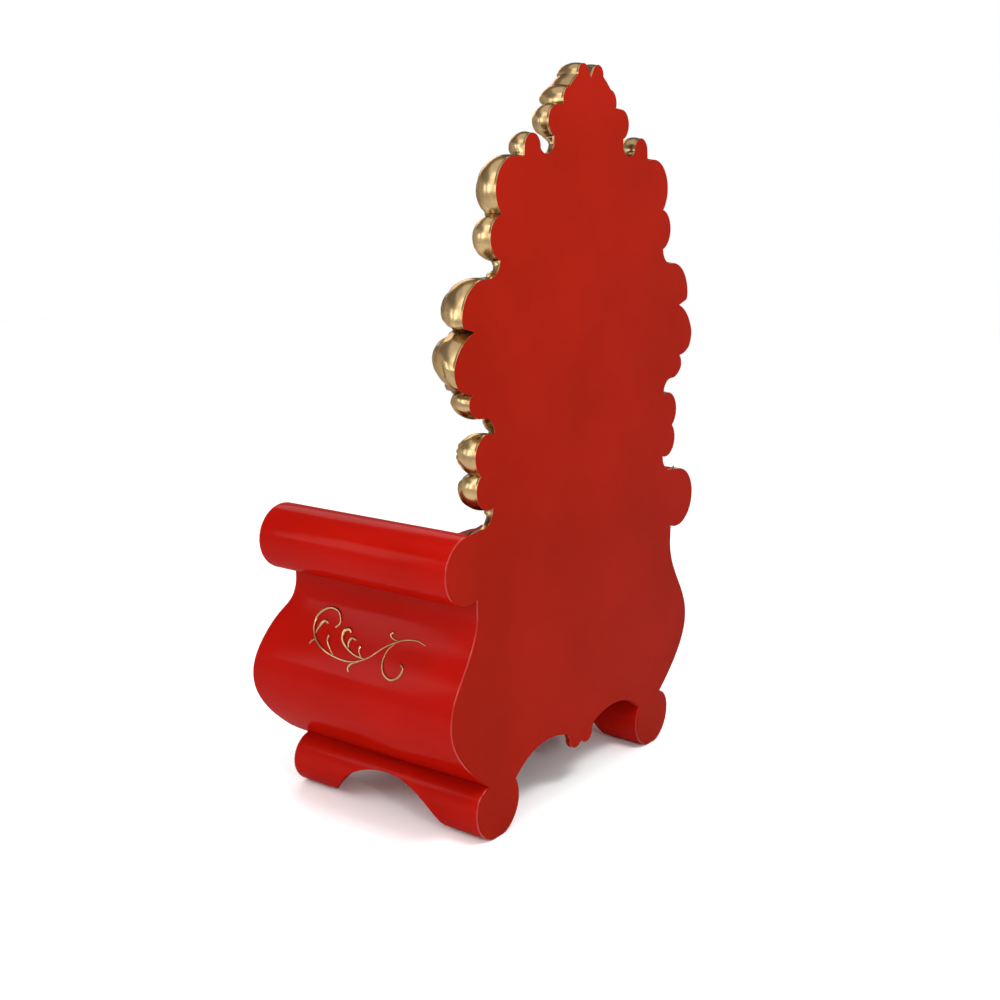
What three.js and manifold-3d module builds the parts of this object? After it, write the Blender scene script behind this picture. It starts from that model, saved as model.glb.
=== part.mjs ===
// Ceremonial throne: a tall flat-backed seat with a carved gilt surround, rolled
// arms and a bombe body that stands on foot rolls. Millimetres, +Z up, the sitter
// faces -Y and the sitter's left is +X. The origin is on the floor, mid-plan.
//
// Pieces are drawn in a sheet frame, x across, y up and z forward from the rear
// face, and the root group turns that frame upright at the end.

import * as THREE from 'three';
import { mergeVertices } from 'three/addons/utils/BufferGeometryUtils.js';
import Module from 'manifold-3d';

const wasm = await Module();
wasm.setup();

// Driving dimensions
const HEIGHT = 1800;          // floor to the top of the crest
const DEPTH = 645;            // rear face to the fullest point of the body's front
const GAP = 0.3;              // clearance between touching pieces
const PANEL = 6;              // board that closes the whole back
const ARC_STEP = Math.PI / 6; // longest turn of one facet on a round edge
const CURVE_STEPS = 7;        // facets on one sweep of the bombe profile
const OVER = 10;              // how far a cutting solid runs past what it cuts
const WELD = 1;               // overlap of two solids that are joined
const SAME_POINT = 0.5;       // outline points nearer than this are one point

const ROLL = { x: 473.5, y: 685, r: 81, front: 585 };         // arm roll
const FOOT = { x: 360, y: 81.6, r: 84, front: 617, top: 595 }; // foot roll, cut flat on the floor
const INNER = ROLL.x - ROLL.r;                                // inner face of each side
const ARCH = { forward: 292, half: 168, height: 116, flare: 0.75 }; // opening between two feet
const LEDGE = { x: 300, y: 180 };                             // floor board inside each side
const TUCK = Math.PI - 0.55;                                  // where the arch meets the foot roll
const ROLL_END = -2;                                          // where the arm roll meets the wall
const LIP = { low: 600, high: 607, over: 800 };               // step from the body's front to the arm roll's

// Bombe body: fullest point, waist and foot notch, across and forward
const BELLY = { y: 330, x: 538, frontY: 240, z: DEPTH };
const WAIST = { y: 570, x: 439, z: 580 };
const NOTCH = { y: 142, x: 400.5, z: 597 };

const SEAT = { deck: 440, deckThick: 22, apronThick: 25 };
const SEAT_CUSHION = { top: 536, back: 62, front: 612, side: INNER - 5, round: 20 };
const RAIL = { top: 205, thick: 18 };                         // lower rail of the back board
const SHOULDER = { x: 486, y: 765 };                          // where the back meets the arm roll
const SURROUND = { base: 20, legX: INNER - 1, foot: SEAT.deck + 1 };
const MOULDING = { width: 15, front: 36 };
const BACK_CUSHION = { inset: 3, front: 56, round: 16 };
const SCROLL = { height: 6, width: 9, tip: 4, step: 15 };
const ROSETTE = { r: 58, dish: 46, bead: 20, thick: 12 };

// Carved lobes of the gilt surround: centre, radius and depth from the rear face
const LOBES = [
  { x: 31, y: 1776, r: 22, depth: 74 },
  { x: 82, y: 1718, r: 30, depth: 61 },
  { x: 144, y: 1668, r: 35, depth: 60 },
  { x: 234, y: 1613, r: 29, depth: 59 },
  { x: 302, y: 1516, r: 72, depth: 76 },
  { x: 370, y: 1411, r: 45, depth: 65 },
  { x: 425, y: 1262, r: 66, depth: 82 },
  { x: 441, y: 1146, r: 76, depth: 93 },
  { x: 432, y: 1057, r: 34, depth: 69 },
  { x: 412, y: 939, r: 41, depth: 71 },
  { x: 407, y: 853, r: 40, depth: 70 },
];

// Strokes of the gilt scroll on a side, forward of the rear face and up: the stem
// with its first coil, the volute that hangs from it, and the leaves that spring off
const STROKES = [
  [[414, 475], [402, 490], [419, 512], [450, 514], [478, 494], [478, 466], [456, 441], [418, 424],
    [369, 416], [325, 417], [285, 432], [246, 462], [205, 482], [165, 489], [134, 484]],
  [[222, 474], [236, 455], [238, 432], [225, 411], [200, 401], [178, 411], [173, 427], [186, 437]],
  [[454, 440], [466, 441], [475, 430]],
  [[468, 452], [464, 468], [452, 484], [437, 481]],
  [[388, 419], [404, 430], [421, 445], [424, 460]],
  [[292, 428], [325, 431], [355, 441], [378, 456], [381, 473], [368, 479], [358, 473]],
  [[350, 439], [356, 453], [350, 463], [337, 461]],
  [[300, 426], [316, 440], [319, 454]],
  [[308, 420], [326, 413], [332, 402], [326, 394]],
  [[212, 479], [232, 482], [241, 489], [234, 496]],
];

// Finishes
const FINISHES = {
  lacquer: { color: 0xb3190f, roughness: 0.2, metalness: 0 },
  gilt: { color: 0xc09a4c, roughness: 0.3, metalness: 1 },
  velvet: { color: 0x8e1220, roughness: 0.9, metalness: 0 },
};

// ---------------------------------------------------------------- outlines

/** Adds an arc of radius r to (x, y), bending clockwise or not. */
function arcTo(path, x, y, r, clockwise) {
  const from = path.currentPoint.clone();
  const to = new THREE.Vector2(x, y);
  const chord = to.clone().sub(from);
  const half = chord.length() / 2;
  const rise = Math.sqrt(Math.max(0, r * r - half * half));
  const side = new THREE.Vector2(-chord.y, chord.x).normalize().multiplyScalar(clockwise ? -rise : rise);
  const centre = from.clone().add(to).multiplyScalar(0.5).add(side);
  const start = Math.atan2(from.y - centre.y, from.x - centre.x);
  const end = Math.atan2(to.y - centre.y, to.x - centre.x);
  path.absarc(centre.x, centre.y, r, start, end, clockwise);
}

/** An arc that swells out of an outline drawn down its right-hand side. */
const bulge = (path, x, y, r) => arcTo(path, x, y, r, true);

/** An arc that bites into an outline drawn down its right-hand side. */
const hollow = (path, x, y, r) => arcTo(path, x, y, r, false);

/** Points along a path, with facets that follow its turns. */
function trace(path, arcStep = ARC_STEP, curveSteps = CURVE_STEPS) {
  const points = [];
  for (const curve of path.curves) {
    let steps = 1;
    if (curve.isEllipseCurve) steps = Math.ceil(curve.getLength() / curve.xRadius / arcStep);
    if (curve.isCubicBezierCurve) steps = curveSteps;
    for (const point of curve.getPoints(steps)) {
      const last = points[points.length - 1];
      if (!last || last.distanceTo(point) > SAME_POINT) points.push(point);
    }
  }
  return points;
}

/** Closes a half outline, drawn from the centre line and back to it, by its mirror image. */
function mirrored(half) {
  const right = half.filter((point) => point.x > SAME_POINT);
  const left = right.map((point) => new THREE.Vector2(-point.x, point.y));
  return half.concat(left.reverse());
}

/** The crest and the carved lobes, from the top centre to the shoulder above the arm. */
function drawLobes(path) {
  path.moveTo(0, 1770);
  path.absarc(31, HEIGHT - 23, 23, 2.6, -0.1, true);
  path.lineTo(71, 1762);
  path.lineTo(88, 1747);
  bulge(path, 113, 1706, 31);
  path.lineTo(146, 1703);
  bulge(path, 149, 1634, 36);
  path.lineTo(149, 1616);
  hollow(path, 203, 1606, 31);
  path.lineTo(203.5, 1613.5);
  bulge(path, 264.5, 1613.5, 31);
  path.lineTo(267, 1589);
  path.lineTo(278, 1586);
  bulge(path, 352, 1464, 74);
  bulge(path, 356, 1364, 52);
  hollow(path, 396, 1326, 42);
  bulge(path, 493, 1240, 85);
  bulge(path, 484, 1225, 16);
  path.lineTo(450, 1215);
  bulge(path, 521, 1142, 110);
  bulge(path, 508, 1098, 60);
  bulge(path, 459, 1080, 90);
  bulge(path, 468, 1048, 30);
  bulge(path, 432, 1023, 60);
  path.lineTo(410, 1022);
  hollow(path, 378, 982, 38);
  bulge(path, 428, 894, 51);
  bulge(path, 382, 814, 47);
  hollow(path, 432, 771, 46);
}

/** The shoulder and the round of the arm roll, down to the notch below it. */
function drawRoll(path) {
  path.lineTo(SHOULDER.x, SHOULDER.y);
  const start = Math.atan2(SHOULDER.y - ROLL.y, SHOULDER.x - ROLL.x);
  path.absarc(ROLL.x, ROLL.y, ROLL.r, start, ROLL_END, true);
}

/** The bombe side, from the arm roll down to the foot roll. */
function drawBelly(path) {
  path.lineTo(WAIST.x, WAIST.y);
  path.bezierCurveTo(WAIST.x, 478, BELLY.x + 2, 415, BELLY.x, BELLY.y);
  path.bezierCurveTo(BELLY.x, 258, 462, 190, NOTCH.x, NOTCH.y);
}

/** The foot roll: outer side, flat on the floor, then up its inner side. */
function drawFoot(path) {
  const bottom = Math.asin(-FOOT.y / FOOT.r);
  path.bezierCurveTo(428, 136, FOOT.x + FOOT.r, 112, FOOT.x + FOOT.r, FOOT.y);
  path.absarc(FOOT.x, FOOT.y, FOOT.r, 0, bottom, true);
  path.absarc(FOOT.x, FOOT.y, FOOT.r, Math.PI - bottom, TUCK, true);
}

/** The low arch between the feet, with a two-lobed pendant at its centre. */
function drawArch(path) {
  hollow(path, 170, 178, 190);
  hollow(path, 60, 160, 230);
  path.lineTo(51, 146);
  bulge(path, 4, 124, 27);
  path.lineTo(0, 127);
}

/** Outline of what fills the space between the two sides, from some height down to the arch. */
function betweenFeetOutline(top, half) {
  const path = new THREE.Path();
  path.moveTo(0, top);
  path.lineTo(half - 2 * GAP, top);
  path.lineTo(half - 2 * GAP, LEDGE.y + GAP);
  path.lineTo(LEDGE.x - 2 * GAP, LEDGE.y + GAP);
  path.lineTo(FOOT.x + FOOT.r * Math.cos(TUCK) - GAP, FOOT.y + FOOT.r * Math.sin(TUCK));
  drawArch(path);
  return mirrored(trace(path));
}

/** Full outline of the board that closes the back. */
function backOutline() {
  const path = new THREE.Path();
  drawLobes(path);
  drawRoll(path);
  drawBelly(path);
  drawFoot(path);
  drawArch(path);
  return mirrored(trace(path));
}

/** Opening of the gilt surround, which the back cushion fills: a leaf with a pointed head. */
function openingOutline() {
  const path = new THREE.Path();
  path.moveTo(0, 1575);
  path.bezierCurveTo(40, 1490, 215, 1500, 262, 1370);
  path.bezierCurveTo(290, 1300, 352, 1260, 352, 1150);
  path.bezierCurveTo(352, 1060, 318, 1030, 318, 940);
  path.lineTo(318, 552);
  path.lineTo(0, 552);
  return mirrored(trace(path, ARC_STEP, 5));
}

/** The same outline moved inward by some distance, corner by corner. */
function insetOutline(points, distance) {
  const turn = THREE.ShapeUtils.isClockWise(points) ? 1 : -1;
  return points.map((point, i) => {
    const before = points[(i + points.length - 1) % points.length];
    const after = points[(i + 1) % points.length];
    const into = point.clone().sub(before).normalize();
    const out = after.clone().sub(point).normalize();
    const middle = into.clone().add(out).normalize();
    const reach = distance / into.cross(new THREE.Vector2(middle.y, -middle.x)) * -turn;
    return new THREE.Vector2(point.x + middle.y * reach, point.y - middle.x * reach);
  });
}

/** Outline of the gilt surround: the lobes, then in along the arms and down to the seat deck. */
function surroundOutline() {
  const path = new THREE.Path();
  drawLobes(path);
  const turn = Math.PI - ROLL_END;
  const facets = Math.ceil(turn / ARC_STEP);
  const start = Math.PI - 3 * turn / facets; // the third corner of the faceted arm roll
  path.absarc(ROLL.x, ROLL.y, ROLL.r + 1, start, Math.PI, false);
  path.lineTo(SURROUND.legX, SURROUND.foot);
  path.lineTo(0, SURROUND.foot);
  return mirrored(trace(path));
}

/** Section across one side: arm roll, bombe wall and foot roll. */
function sideOutline() {
  const path = new THREE.Path();
  path.moveTo(INNER, ROLL.y);
  path.absarc(ROLL.x, ROLL.y, ROLL.r, Math.PI, ROLL_END, true);
  drawBelly(path);
  drawFoot(path);
  path.lineTo(LEDGE.x, LEDGE.y);
  path.lineTo(INNER, LEDGE.y);
  return trace(path);
}

/** Front of the body seen from the side, forward across and up, set back by some amount. */
function frontOutline(back = 0) {
  const path = new THREE.Path();
  path.moveTo(0, -OVER);
  path.lineTo(FOOT.front - back, -OVER);
  path.lineTo(FOOT.front - back, 0);
  path.lineTo(FOOT.top - back, NOTCH.y);
  path.lineTo(NOTCH.z - back, NOTCH.y + 2);
  path.bezierCurveTo(644 - back, 146, BELLY.z - back, 175, BELLY.z - back, BELLY.frontY);
  path.bezierCurveTo(BELLY.z - back, 555, WAIST.z - back, 445, WAIST.z - back, WAIST.y);
  path.lineTo(WAIST.z - back, LIP.low);
  path.lineTo(ROLL.front - back, LIP.high);
  path.lineTo(ROLL.front - back, LIP.over);
  path.lineTo(0, LIP.over);
  return trace(path);
}

// ------------------------------------------------------------------ solids

/** A closed board of a given outline between two depths. */
function slab(points, near, far, holes = []) {
  const outline = THREE.ShapeUtils.isClockWise(points) ? points.slice().reverse() : points;
  const shape = new THREE.Shape(outline);
  for (const hole of holes) shape.holes.push(new THREE.Path(hole));
  const geometry = new THREE.ExtrudeGeometry(shape, { depth: far - near, bevelEnabled: false });
  return geometry.translate(0, 0, near);
}

/** A board whose outline is drawn forward and up, extruded across from x0 to x1. */
function crossSlab(points, x0, x1) {
  const geometry = slab(points, -x1, -x0);
  return geometry.rotateY(-Math.PI / 2);
}

/** A manifold solid made from a closed three.js geometry. */
function toSolid(geometry) {
  geometry.deleteAttribute('normal');
  geometry.deleteAttribute('uv');
  const merged = mergeVertices(geometry, 1e-3);
  const vertProperties = new Float32Array(merged.attributes.position.array);
  const triVerts = new Uint32Array(merged.index.array);
  return new wasm.Manifold(new wasm.Mesh({ numProp: 3, vertProperties, triVerts }));
}

/** A three.js geometry made from a manifold solid. */
function toGeometry(solid) {
  const { vertProperties, triVerts } = solid.getMesh();
  const geometry = new THREE.BufferGeometry();
  geometry.setAttribute('position', new THREE.BufferAttribute(new Float32Array(vertProperties), 3));
  geometry.setIndex(new THREE.BufferAttribute(new Uint32Array(triVerts), 1));
  return geometry;
}

/** Corners of a rectangle between two limits each way. */
function boxPoints(x0, x1, y0, y1) {
  return [[x0, y0], [x1, y0], [x1, y1], [x0, y1]].map(([x, y]) => new THREE.Vector2(x, y));
}

/** The space in front of some depth, as a solid larger than the throne. */
function aheadOf(depth) {
  return toSolid(slab(boxPoints(-HEIGHT, HEIGHT, -HEIGHT, 2 * HEIGHT), depth, depth + 2 * DEPTH));
}

/** The mirror image of an indexed geometry across x = 0, still facing out. */
function mirrorGeometry(source) {
  const geometry = source.clone();
  geometry.scale(-1, 1, 1);
  const index = geometry.index.array;
  for (let i = 0; i < index.length; i += 3) [index[i], index[i + 1]] = [index[i + 1], index[i]];
  return geometry;
}

// ------------------------------------------------------------------ pieces

/** The flat board across the whole back, thickened between the feet. */
function makeBackPanel() {
  const board = toSolid(slab(backOutline(), 0, PANEL));
  const rail = toSolid(slab(betweenFeetOutline(RAIL.top, LEDGE.x), PANEL - WELD, RAIL.thick));
  return toGeometry(board.add(rail));
}

/** Gilt surround: a board round the back cushion with domed lobes along its edge. */
function makeSurround() {
  const board = slab(surroundOutline(), PANEL + GAP, SURROUND.base, [openingOutline()]);
  const rim = insetOutline(openingOutline(), -MOULDING.width);
  const moulding = slab(rim, SURROUND.base - WELD, MOULDING.front, [openingOutline()]);
  let solid = toSolid(board).add(toSolid(moulding));
  for (const lobe of LOBES) {
    for (const side of [-1, 1]) {
      const dome = new THREE.SphereGeometry(1, 12, 8);
      dome.rotateX(Math.PI / 2);
      dome.scale(lobe.r, lobe.r, lobe.depth - SURROUND.base);
      dome.translate(side * lobe.x, lobe.y, SURROUND.base);
      solid = solid.add(toSolid(dome));
    }
  }
  return toGeometry(solid.intersect(aheadOf(PANEL + GAP)));
}

/** The opening under one side: half an ellipse, whose front half flares towards the middle. */
function archGeometry() {
  const path = new THREE.Path();
  path.absellipse(ARCH.forward, 0, ARCH.half, ARCH.height, 0, Math.PI);
  const points = [new THREE.Vector2(ARCH.forward + ARCH.half, -OVER)].concat(path.getPoints(12));
  points.push(new THREE.Vector2(ARCH.forward - ARCH.half, -OVER));
  const outside = FOOT.x + FOOT.r;
  const geometry = crossSlab(points, outside - 2 * FOOT.r - 2 * OVER, outside + 2 * OVER);
  const position = geometry.attributes.position;
  for (let i = 0; i < position.count; i += 1) {
    const flare = 1 + ARCH.flare * (outside - position.getX(i)) / (2 * FOOT.r);
    const ahead = position.getZ(i) - ARCH.forward;
    if (ahead > 0) position.setZ(i, ARCH.forward + ahead * flare);
  }
  return geometry;
}

/** One side of the body: arm roll, bombe wall and a foot roll opened by an arch. */
function makeSide() {
  const wall = toSolid(slab(sideOutline(), PANEL + GAP, DEPTH + OVER));
  const front = toSolid(crossSlab(frontOutline(), 0, HEIGHT));
  return toGeometry(wall.intersect(front).subtract(toSolid(archGeometry())));
}

/** Seat deck and the bombe apron across the front, moulded as one. */
function makeSeatBase() {
  const half = INNER - GAP;
  const apron = toSolid(slab(betweenFeetOutline(SEAT.deck, INNER), DEPTH / 2, DEPTH + OVER));
  const front = toSolid(crossSlab(frontOutline(), -HEIGHT, HEIGHT));
  const behind = toSolid(crossSlab(frontOutline(SEAT.apronThick), -HEIGHT, HEIGHT));
  const deckPoints = boxPoints(-half, half, SEAT.deck - SEAT.deckThick, SEAT.deck);
  const deck = toSolid(slab(deckPoints, PANEL + GAP, FOOT.front));
  return toGeometry(apron.intersect(front).subtract(behind).add(deck));
}

/** Seat cushion: a plain block with rounded edges. */
function makeSeatCushion() {
  const { top, back, front, side, round } = SEAT_CUSHION;
  const low = SEAT.deck + GAP;
  const shape = new THREE.Shape(boxPoints(-side + round, side - round, low + round, top - round));
  const geometry = new THREE.ExtrudeGeometry(shape, {
    depth: front - back - 2 * round,
    bevelThickness: round,
    bevelSize: round,
    bevelSegments: 3,
  });
  return geometry.translate(0, 0, back + round);
}

/** Back cushion: fills the opening of the gilt surround and swells forward of it. */
function makeBackCushion() {
  const shape = new THREE.Shape(insetOutline(openingOutline(), BACK_CUSHION.inset + BACK_CUSHION.round));
  const geometry = new THREE.ExtrudeGeometry(shape, {
    depth: BACK_CUSHION.front - BACK_CUSHION.round - PANEL - 2 * GAP,
    bevelThickness: BACK_CUSHION.round,
    bevelSize: BACK_CUSHION.round,
    bevelSegments: 3,
  });
  const solid = toSolid(geometry.translate(0, 0, PANEL + 2 * GAP));
  return toGeometry(solid.intersect(aheadOf(PANEL + 2 * GAP)));
}

/** Outline of one stroke: a ribbon along a smooth curve, narrowing to both ends. */
function ribbonOutline(stroke) {
  const curve = new THREE.SplineCurve(stroke.map(([forward, up]) => new THREE.Vector2(forward, up)));
  const steps = Math.ceil(curve.getLength() / SCROLL.step);
  const near = [];
  const far = [];
  for (let i = 0; i <= steps; i += 1) {
    const t = i / steps;
    const point = curve.getPoint(t);
    const tangent = curve.getTangent(t);
    const half = (SCROLL.tip + (SCROLL.width - SCROLL.tip) * Math.sin(Math.PI * t)) / 2;
    near.push(new THREE.Vector2(point.x - tangent.y * half, point.y + tangent.x * half));
    far.push(new THREE.Vector2(point.x + tangent.y * half, point.y - tangent.x * half));
  }
  return near.concat(far.reverse());
}

/** Gilt scroll that lies on the bombe side: ribbons cut to a thin skin over its surface. */
function makeSideScroll() {
  const section = slab(sideOutline(), 0, DEPTH);
  const under = toSolid(section.clone().translate(GAP, 0, 0));
  const over = toSolid(section.translate(SCROLL.height, 0, 0));
  let ribbons = null;
  for (const stroke of STROKES) {
    const ribbon = toSolid(crossSlab(ribbonOutline(stroke), INNER, HEIGHT));
    ribbons = ribbons ? ribbons.add(ribbon) : ribbon;
  }
  return toGeometry(ribbons.intersect(over).subtract(under));
}

/** Turned gilt rosette on the flat front of an arm roll. */
function makeRosette(side) {
  const { r, dish, bead, thick } = ROSETTE;
  const profile = [
    [0, 0], [r, 0], [r, thick * 0.7], [r - 4, thick], [dish, thick], [dish - 6, thick * 0.4],
    [bead + 4, thick * 0.4], [bead, thick * 0.9], [bead * 0.5, thick * 1.3], [0, thick * 1.5],
  ].map(([x, y]) => new THREE.Vector2(x, y));
  const geometry = new THREE.LatheGeometry(profile, 18);
  geometry.rotateX(Math.PI / 2);
  return geometry.translate(side * ROLL.x, ROLL.y, ROLL.front + GAP);
}

// --------------------------------------------------------------- assembly

const throne = new THREE.Group();
throne.rotation.x = Math.PI / 2;
throne.position.y = DEPTH / 2;

/** Adds one named piece in a finish. */
function addPiece(name, geometry, finish) {
  const mesh = new THREE.Mesh(geometry, new THREE.MeshStandardMaterial(FINISHES[finish]));
  mesh.name = name;
  throne.add(mesh);
}

const side = makeSide();
addPiece('back_panel', makeBackPanel(), 'lacquer');
addPiece('gilt_surround', makeSurround(), 'gilt');
addPiece('side_left', side, 'lacquer');
addPiece('side_right', mirrorGeometry(side), 'lacquer');
addPiece('seat_base', makeSeatBase(), 'lacquer');
addPiece('seat_cushion', makeSeatCushion(), 'velvet');
addPiece('back_cushion', makeBackCushion(), 'velvet');
const scroll = makeSideScroll();
addPiece('side_scroll_left', scroll, 'gilt');
addPiece('side_scroll_right', mirrorGeometry(scroll), 'gilt');
addPiece('arm_rosette_left', makeRosette(1), 'gilt');
addPiece('arm_rosette_right', makeRosette(-1), 'gilt');

export default throne;
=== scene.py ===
import sys
import logging
import math
from dataclasses import dataclass
from enum import Enum
from typing import Callable, Sequence

import bmesh
import bpy
import numpy as np
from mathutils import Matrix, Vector
from mathutils.bvhtree import BVHTree
from mathutils.geometry import delaunay_2d_cdt


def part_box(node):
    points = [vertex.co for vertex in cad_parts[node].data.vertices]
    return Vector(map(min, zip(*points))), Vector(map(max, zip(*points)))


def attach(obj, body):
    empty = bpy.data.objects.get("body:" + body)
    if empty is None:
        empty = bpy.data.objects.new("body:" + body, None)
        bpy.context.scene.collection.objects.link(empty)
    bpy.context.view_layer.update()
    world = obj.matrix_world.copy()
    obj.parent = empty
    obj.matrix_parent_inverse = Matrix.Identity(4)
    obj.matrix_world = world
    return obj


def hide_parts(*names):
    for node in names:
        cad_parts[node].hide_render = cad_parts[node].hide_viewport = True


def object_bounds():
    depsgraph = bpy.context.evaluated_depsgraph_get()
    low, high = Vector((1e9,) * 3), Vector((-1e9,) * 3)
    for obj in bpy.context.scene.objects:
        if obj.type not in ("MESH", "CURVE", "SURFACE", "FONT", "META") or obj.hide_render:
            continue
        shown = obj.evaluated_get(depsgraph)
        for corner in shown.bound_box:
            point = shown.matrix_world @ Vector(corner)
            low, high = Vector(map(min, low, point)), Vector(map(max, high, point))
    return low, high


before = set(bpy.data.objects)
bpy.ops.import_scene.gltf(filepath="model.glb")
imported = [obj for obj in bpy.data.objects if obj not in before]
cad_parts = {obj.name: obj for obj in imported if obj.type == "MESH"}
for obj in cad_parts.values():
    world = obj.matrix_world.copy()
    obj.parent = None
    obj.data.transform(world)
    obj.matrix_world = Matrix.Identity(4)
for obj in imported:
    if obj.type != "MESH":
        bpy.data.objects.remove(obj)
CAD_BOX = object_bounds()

# A ceremonial throne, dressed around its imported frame: a flat lacquered back board, a
# carved and gilded surround, moulded lacquer sides and apron with raised gilt scrolls,
# and velvet cushions. Shapes are drawn in a sheet plane, x across and y up in mm, and
# stand some way forward, in mm, of the board's rear face.

log = logging.getLogger("throne")

Array = np.ndarray
Surface = Callable[[Array, Array], Array]
Material = bpy.types.Material
Piece = bpy.types.Object
Socket = bpy.types.NodeSocket

MM = 0.001
GAP = 0.3          # clearance between touching pieces, in mm
SAME = 0.5         # points of an outline nearer to the centre line than this lie on it, in mm
TINY = 1e-9        # keeps a division from failing
REAR_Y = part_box("back_panel")[1].y
FLOOR_Z = CAD_BOX[0].z
HEIGHT = (CAD_BOX[1].z - FLOOR_Z) / MM


class Hand(Enum):
    """The sitter's left or right, as the sign of x."""

    LEFT = 1
    RIGHT = -1


class Carving(Enum):
    """What is cut into the face of a carved lobe."""

    VOLUTE = "volute"
    SHELL = "shell"
    BUD = "bud"


# ------------------------------------------------------------------ drawing


def place(across: Array, up: Array, forward: Array) -> Array:
    """Points of the sheet frame, in mm, as points of the throne's frame, in metres.

    Args:
        across: Distance to the sitter's left.
        up: Height above the floor.
        forward: Distance forward of the rear face.

    Returns:
        An array with one row of three coordinates for each point.
    """
    across, up, forward = np.broadcast_arrays(across, up, forward)
    return np.stack([across * MM, REAR_Y - forward * MM, FLOOR_Z + up * MM], axis=-1)


class Pen:
    """Draws an outline in the sheet plane as points about one pitch apart."""

    def __init__(self, x: float, y: float, pitch: float) -> None:
        """Starts an outline at a point.

        Args:
            x: Distance across, in mm.
            y: Distance up, in mm.
            pitch: Distance between two points, in mm.
        """
        self.pitch = pitch
        self.x, self.y = x, y
        self.runs = [np.array([[x, y]], float)]

    def add(self, run: Array) -> None:
        """Adds the points of a run and moves the pen to its end."""
        self.runs.append(run)
        self.x, self.y = run[-1]

    def line(self, x: float, y: float) -> None:
        """Draws a straight line to a point.

        Args:
            x: Distance across, in mm.
            y: Distance up, in mm.
        """
        count = max(1, math.ceil(math.hypot(x - self.x, y - self.y) / self.pitch))
        t = np.linspace(0, 1, count + 1)[1:, None]
        self.add((1 - t) * np.array([self.x, self.y]) + t * np.array([x, y]))

    def arc(self, cx: float, cy: float, r: float, start: float, end: float) -> None:
        """Draws a line to the start of an arc about a centre, then the arc itself.

        Args:
            cx: Centre of the arc, across.
            cy: Centre of the arc, up.
            r: Radius.
            start: Angle at which it starts.
            end: Angle at which it ends.
        """
        first = (cx + r * math.cos(start), cy + r * math.sin(start))
        if math.hypot(first[0] - self.x, first[1] - self.y) > 0.05:
            self.line(*first)
        count = max(1, math.ceil(abs(end - start) * r / self.pitch))
        turn = np.linspace(start, end, count + 1)[1:]
        self.add(np.stack([cx + r * np.cos(turn), cy + r * np.sin(turn)], axis=1))

    def bend(self, x: float, y: float, r: float, outward: bool) -> None:
        """Draws an arc of radius r to a point.

        Args:
            x: Where the arc ends, across.
            y: Where the arc ends, up.
            r: Its radius.
            outward: Whether it swells out of an outline drawn down its right-hand side.
        """
        chord = np.array([x - self.x, y - self.y])
        half = math.hypot(*chord) / 2
        rise = math.sqrt(max(0.0, r * r - half * half))
        side = np.array([-chord[1], chord[0]]) / (2 * half) * (-rise if outward else rise)
        cx, cy = (np.array([self.x + x, self.y + y]) / 2 + side).tolist()
        start = math.atan2(self.y - cy, self.x - cx)
        end = math.atan2(y - cy, x - cx)
        if outward and end > start:
            end -= 2 * math.pi
        if not outward and end < start:
            end += 2 * math.pi
        self.arc(cx, cy, r, start, end)

    def bulge(self, x: float, y: float, r: float) -> None:
        """Draws an arc that swells out of the outline."""
        self.bend(x, y, r, True)

    def hollow(self, x: float, y: float, r: float) -> None:
        """Draws an arc that bites into the outline."""
        self.bend(x, y, r, False)

    def curve(self, x1: float, y1: float, x2: float, y2: float, x3: float, y3: float) -> None:
        """Draws a cubic curve with two handles to a point.

        Args:
            x1: First handle, across.
            y1: First handle, up.
            x2: Second handle, across.
            y2: Second handle, up.
            x3: End, across.
            y3: End, up.
        """
        knots = np.array([[self.x, self.y], [x1, y1], [x2, y2], [x3, y3]])
        length = np.linalg.norm(np.diff(knots, axis=0), axis=1).sum()
        t = np.linspace(0, 1, max(2, math.ceil(length / self.pitch)) + 1)[1:, None]
        weights = np.hstack([(1 - t) ** 3, 3 * (1 - t) ** 2 * t, 3 * (1 - t) * t * t, t**3])
        self.add(weights @ knots)

    def points(self) -> Array:
        """All points drawn so far, in order."""
        return np.concatenate(self.runs)


def mirrored(half: Array) -> Array:
    """Closes a half outline, drawn from the centre line and back to it, by its mirror image."""
    twin = half[np.abs(half[:, 0]) > SAME] * (-1, 1)
    return np.concatenate([half, twin[::-1]])


def outward(loop: Array) -> Array:
    """Unit normals that point out of a closed loop, longer at sharp corners as a mitre is.

    Each is the mean of the normals of the two edges that meet, divided by the cosine of
    half the turn, with a limit on its length.

    Args:
        loop: Points of the closed outline, in mm.

    Returns:
        One normal for each point.
    """
    edge = np.roll(loop, -1, axis=0) - loop
    edge /= np.maximum(np.linalg.norm(edge, axis=1, keepdims=True), TINY)
    after = np.stack([edge[:, 1], -edge[:, 0]], axis=1)
    before = np.roll(after, 1, axis=0)
    mean = after + before
    mean /= np.maximum(np.linalg.norm(mean, axis=1, keepdims=True), 1e-6)
    mean /= np.clip((mean * after).sum(axis=1, keepdims=True), 0.5, 1)
    return mean * np.sign(signed_area(loop))


def signed_area(loop: Array) -> float:
    """Area inside a closed loop, positive if it runs anticlockwise."""
    after = np.roll(loop, -1, axis=0)
    return float((loop[:, 0] * after[:, 1] - after[:, 0] * loop[:, 1]).sum() / 2)


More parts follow.
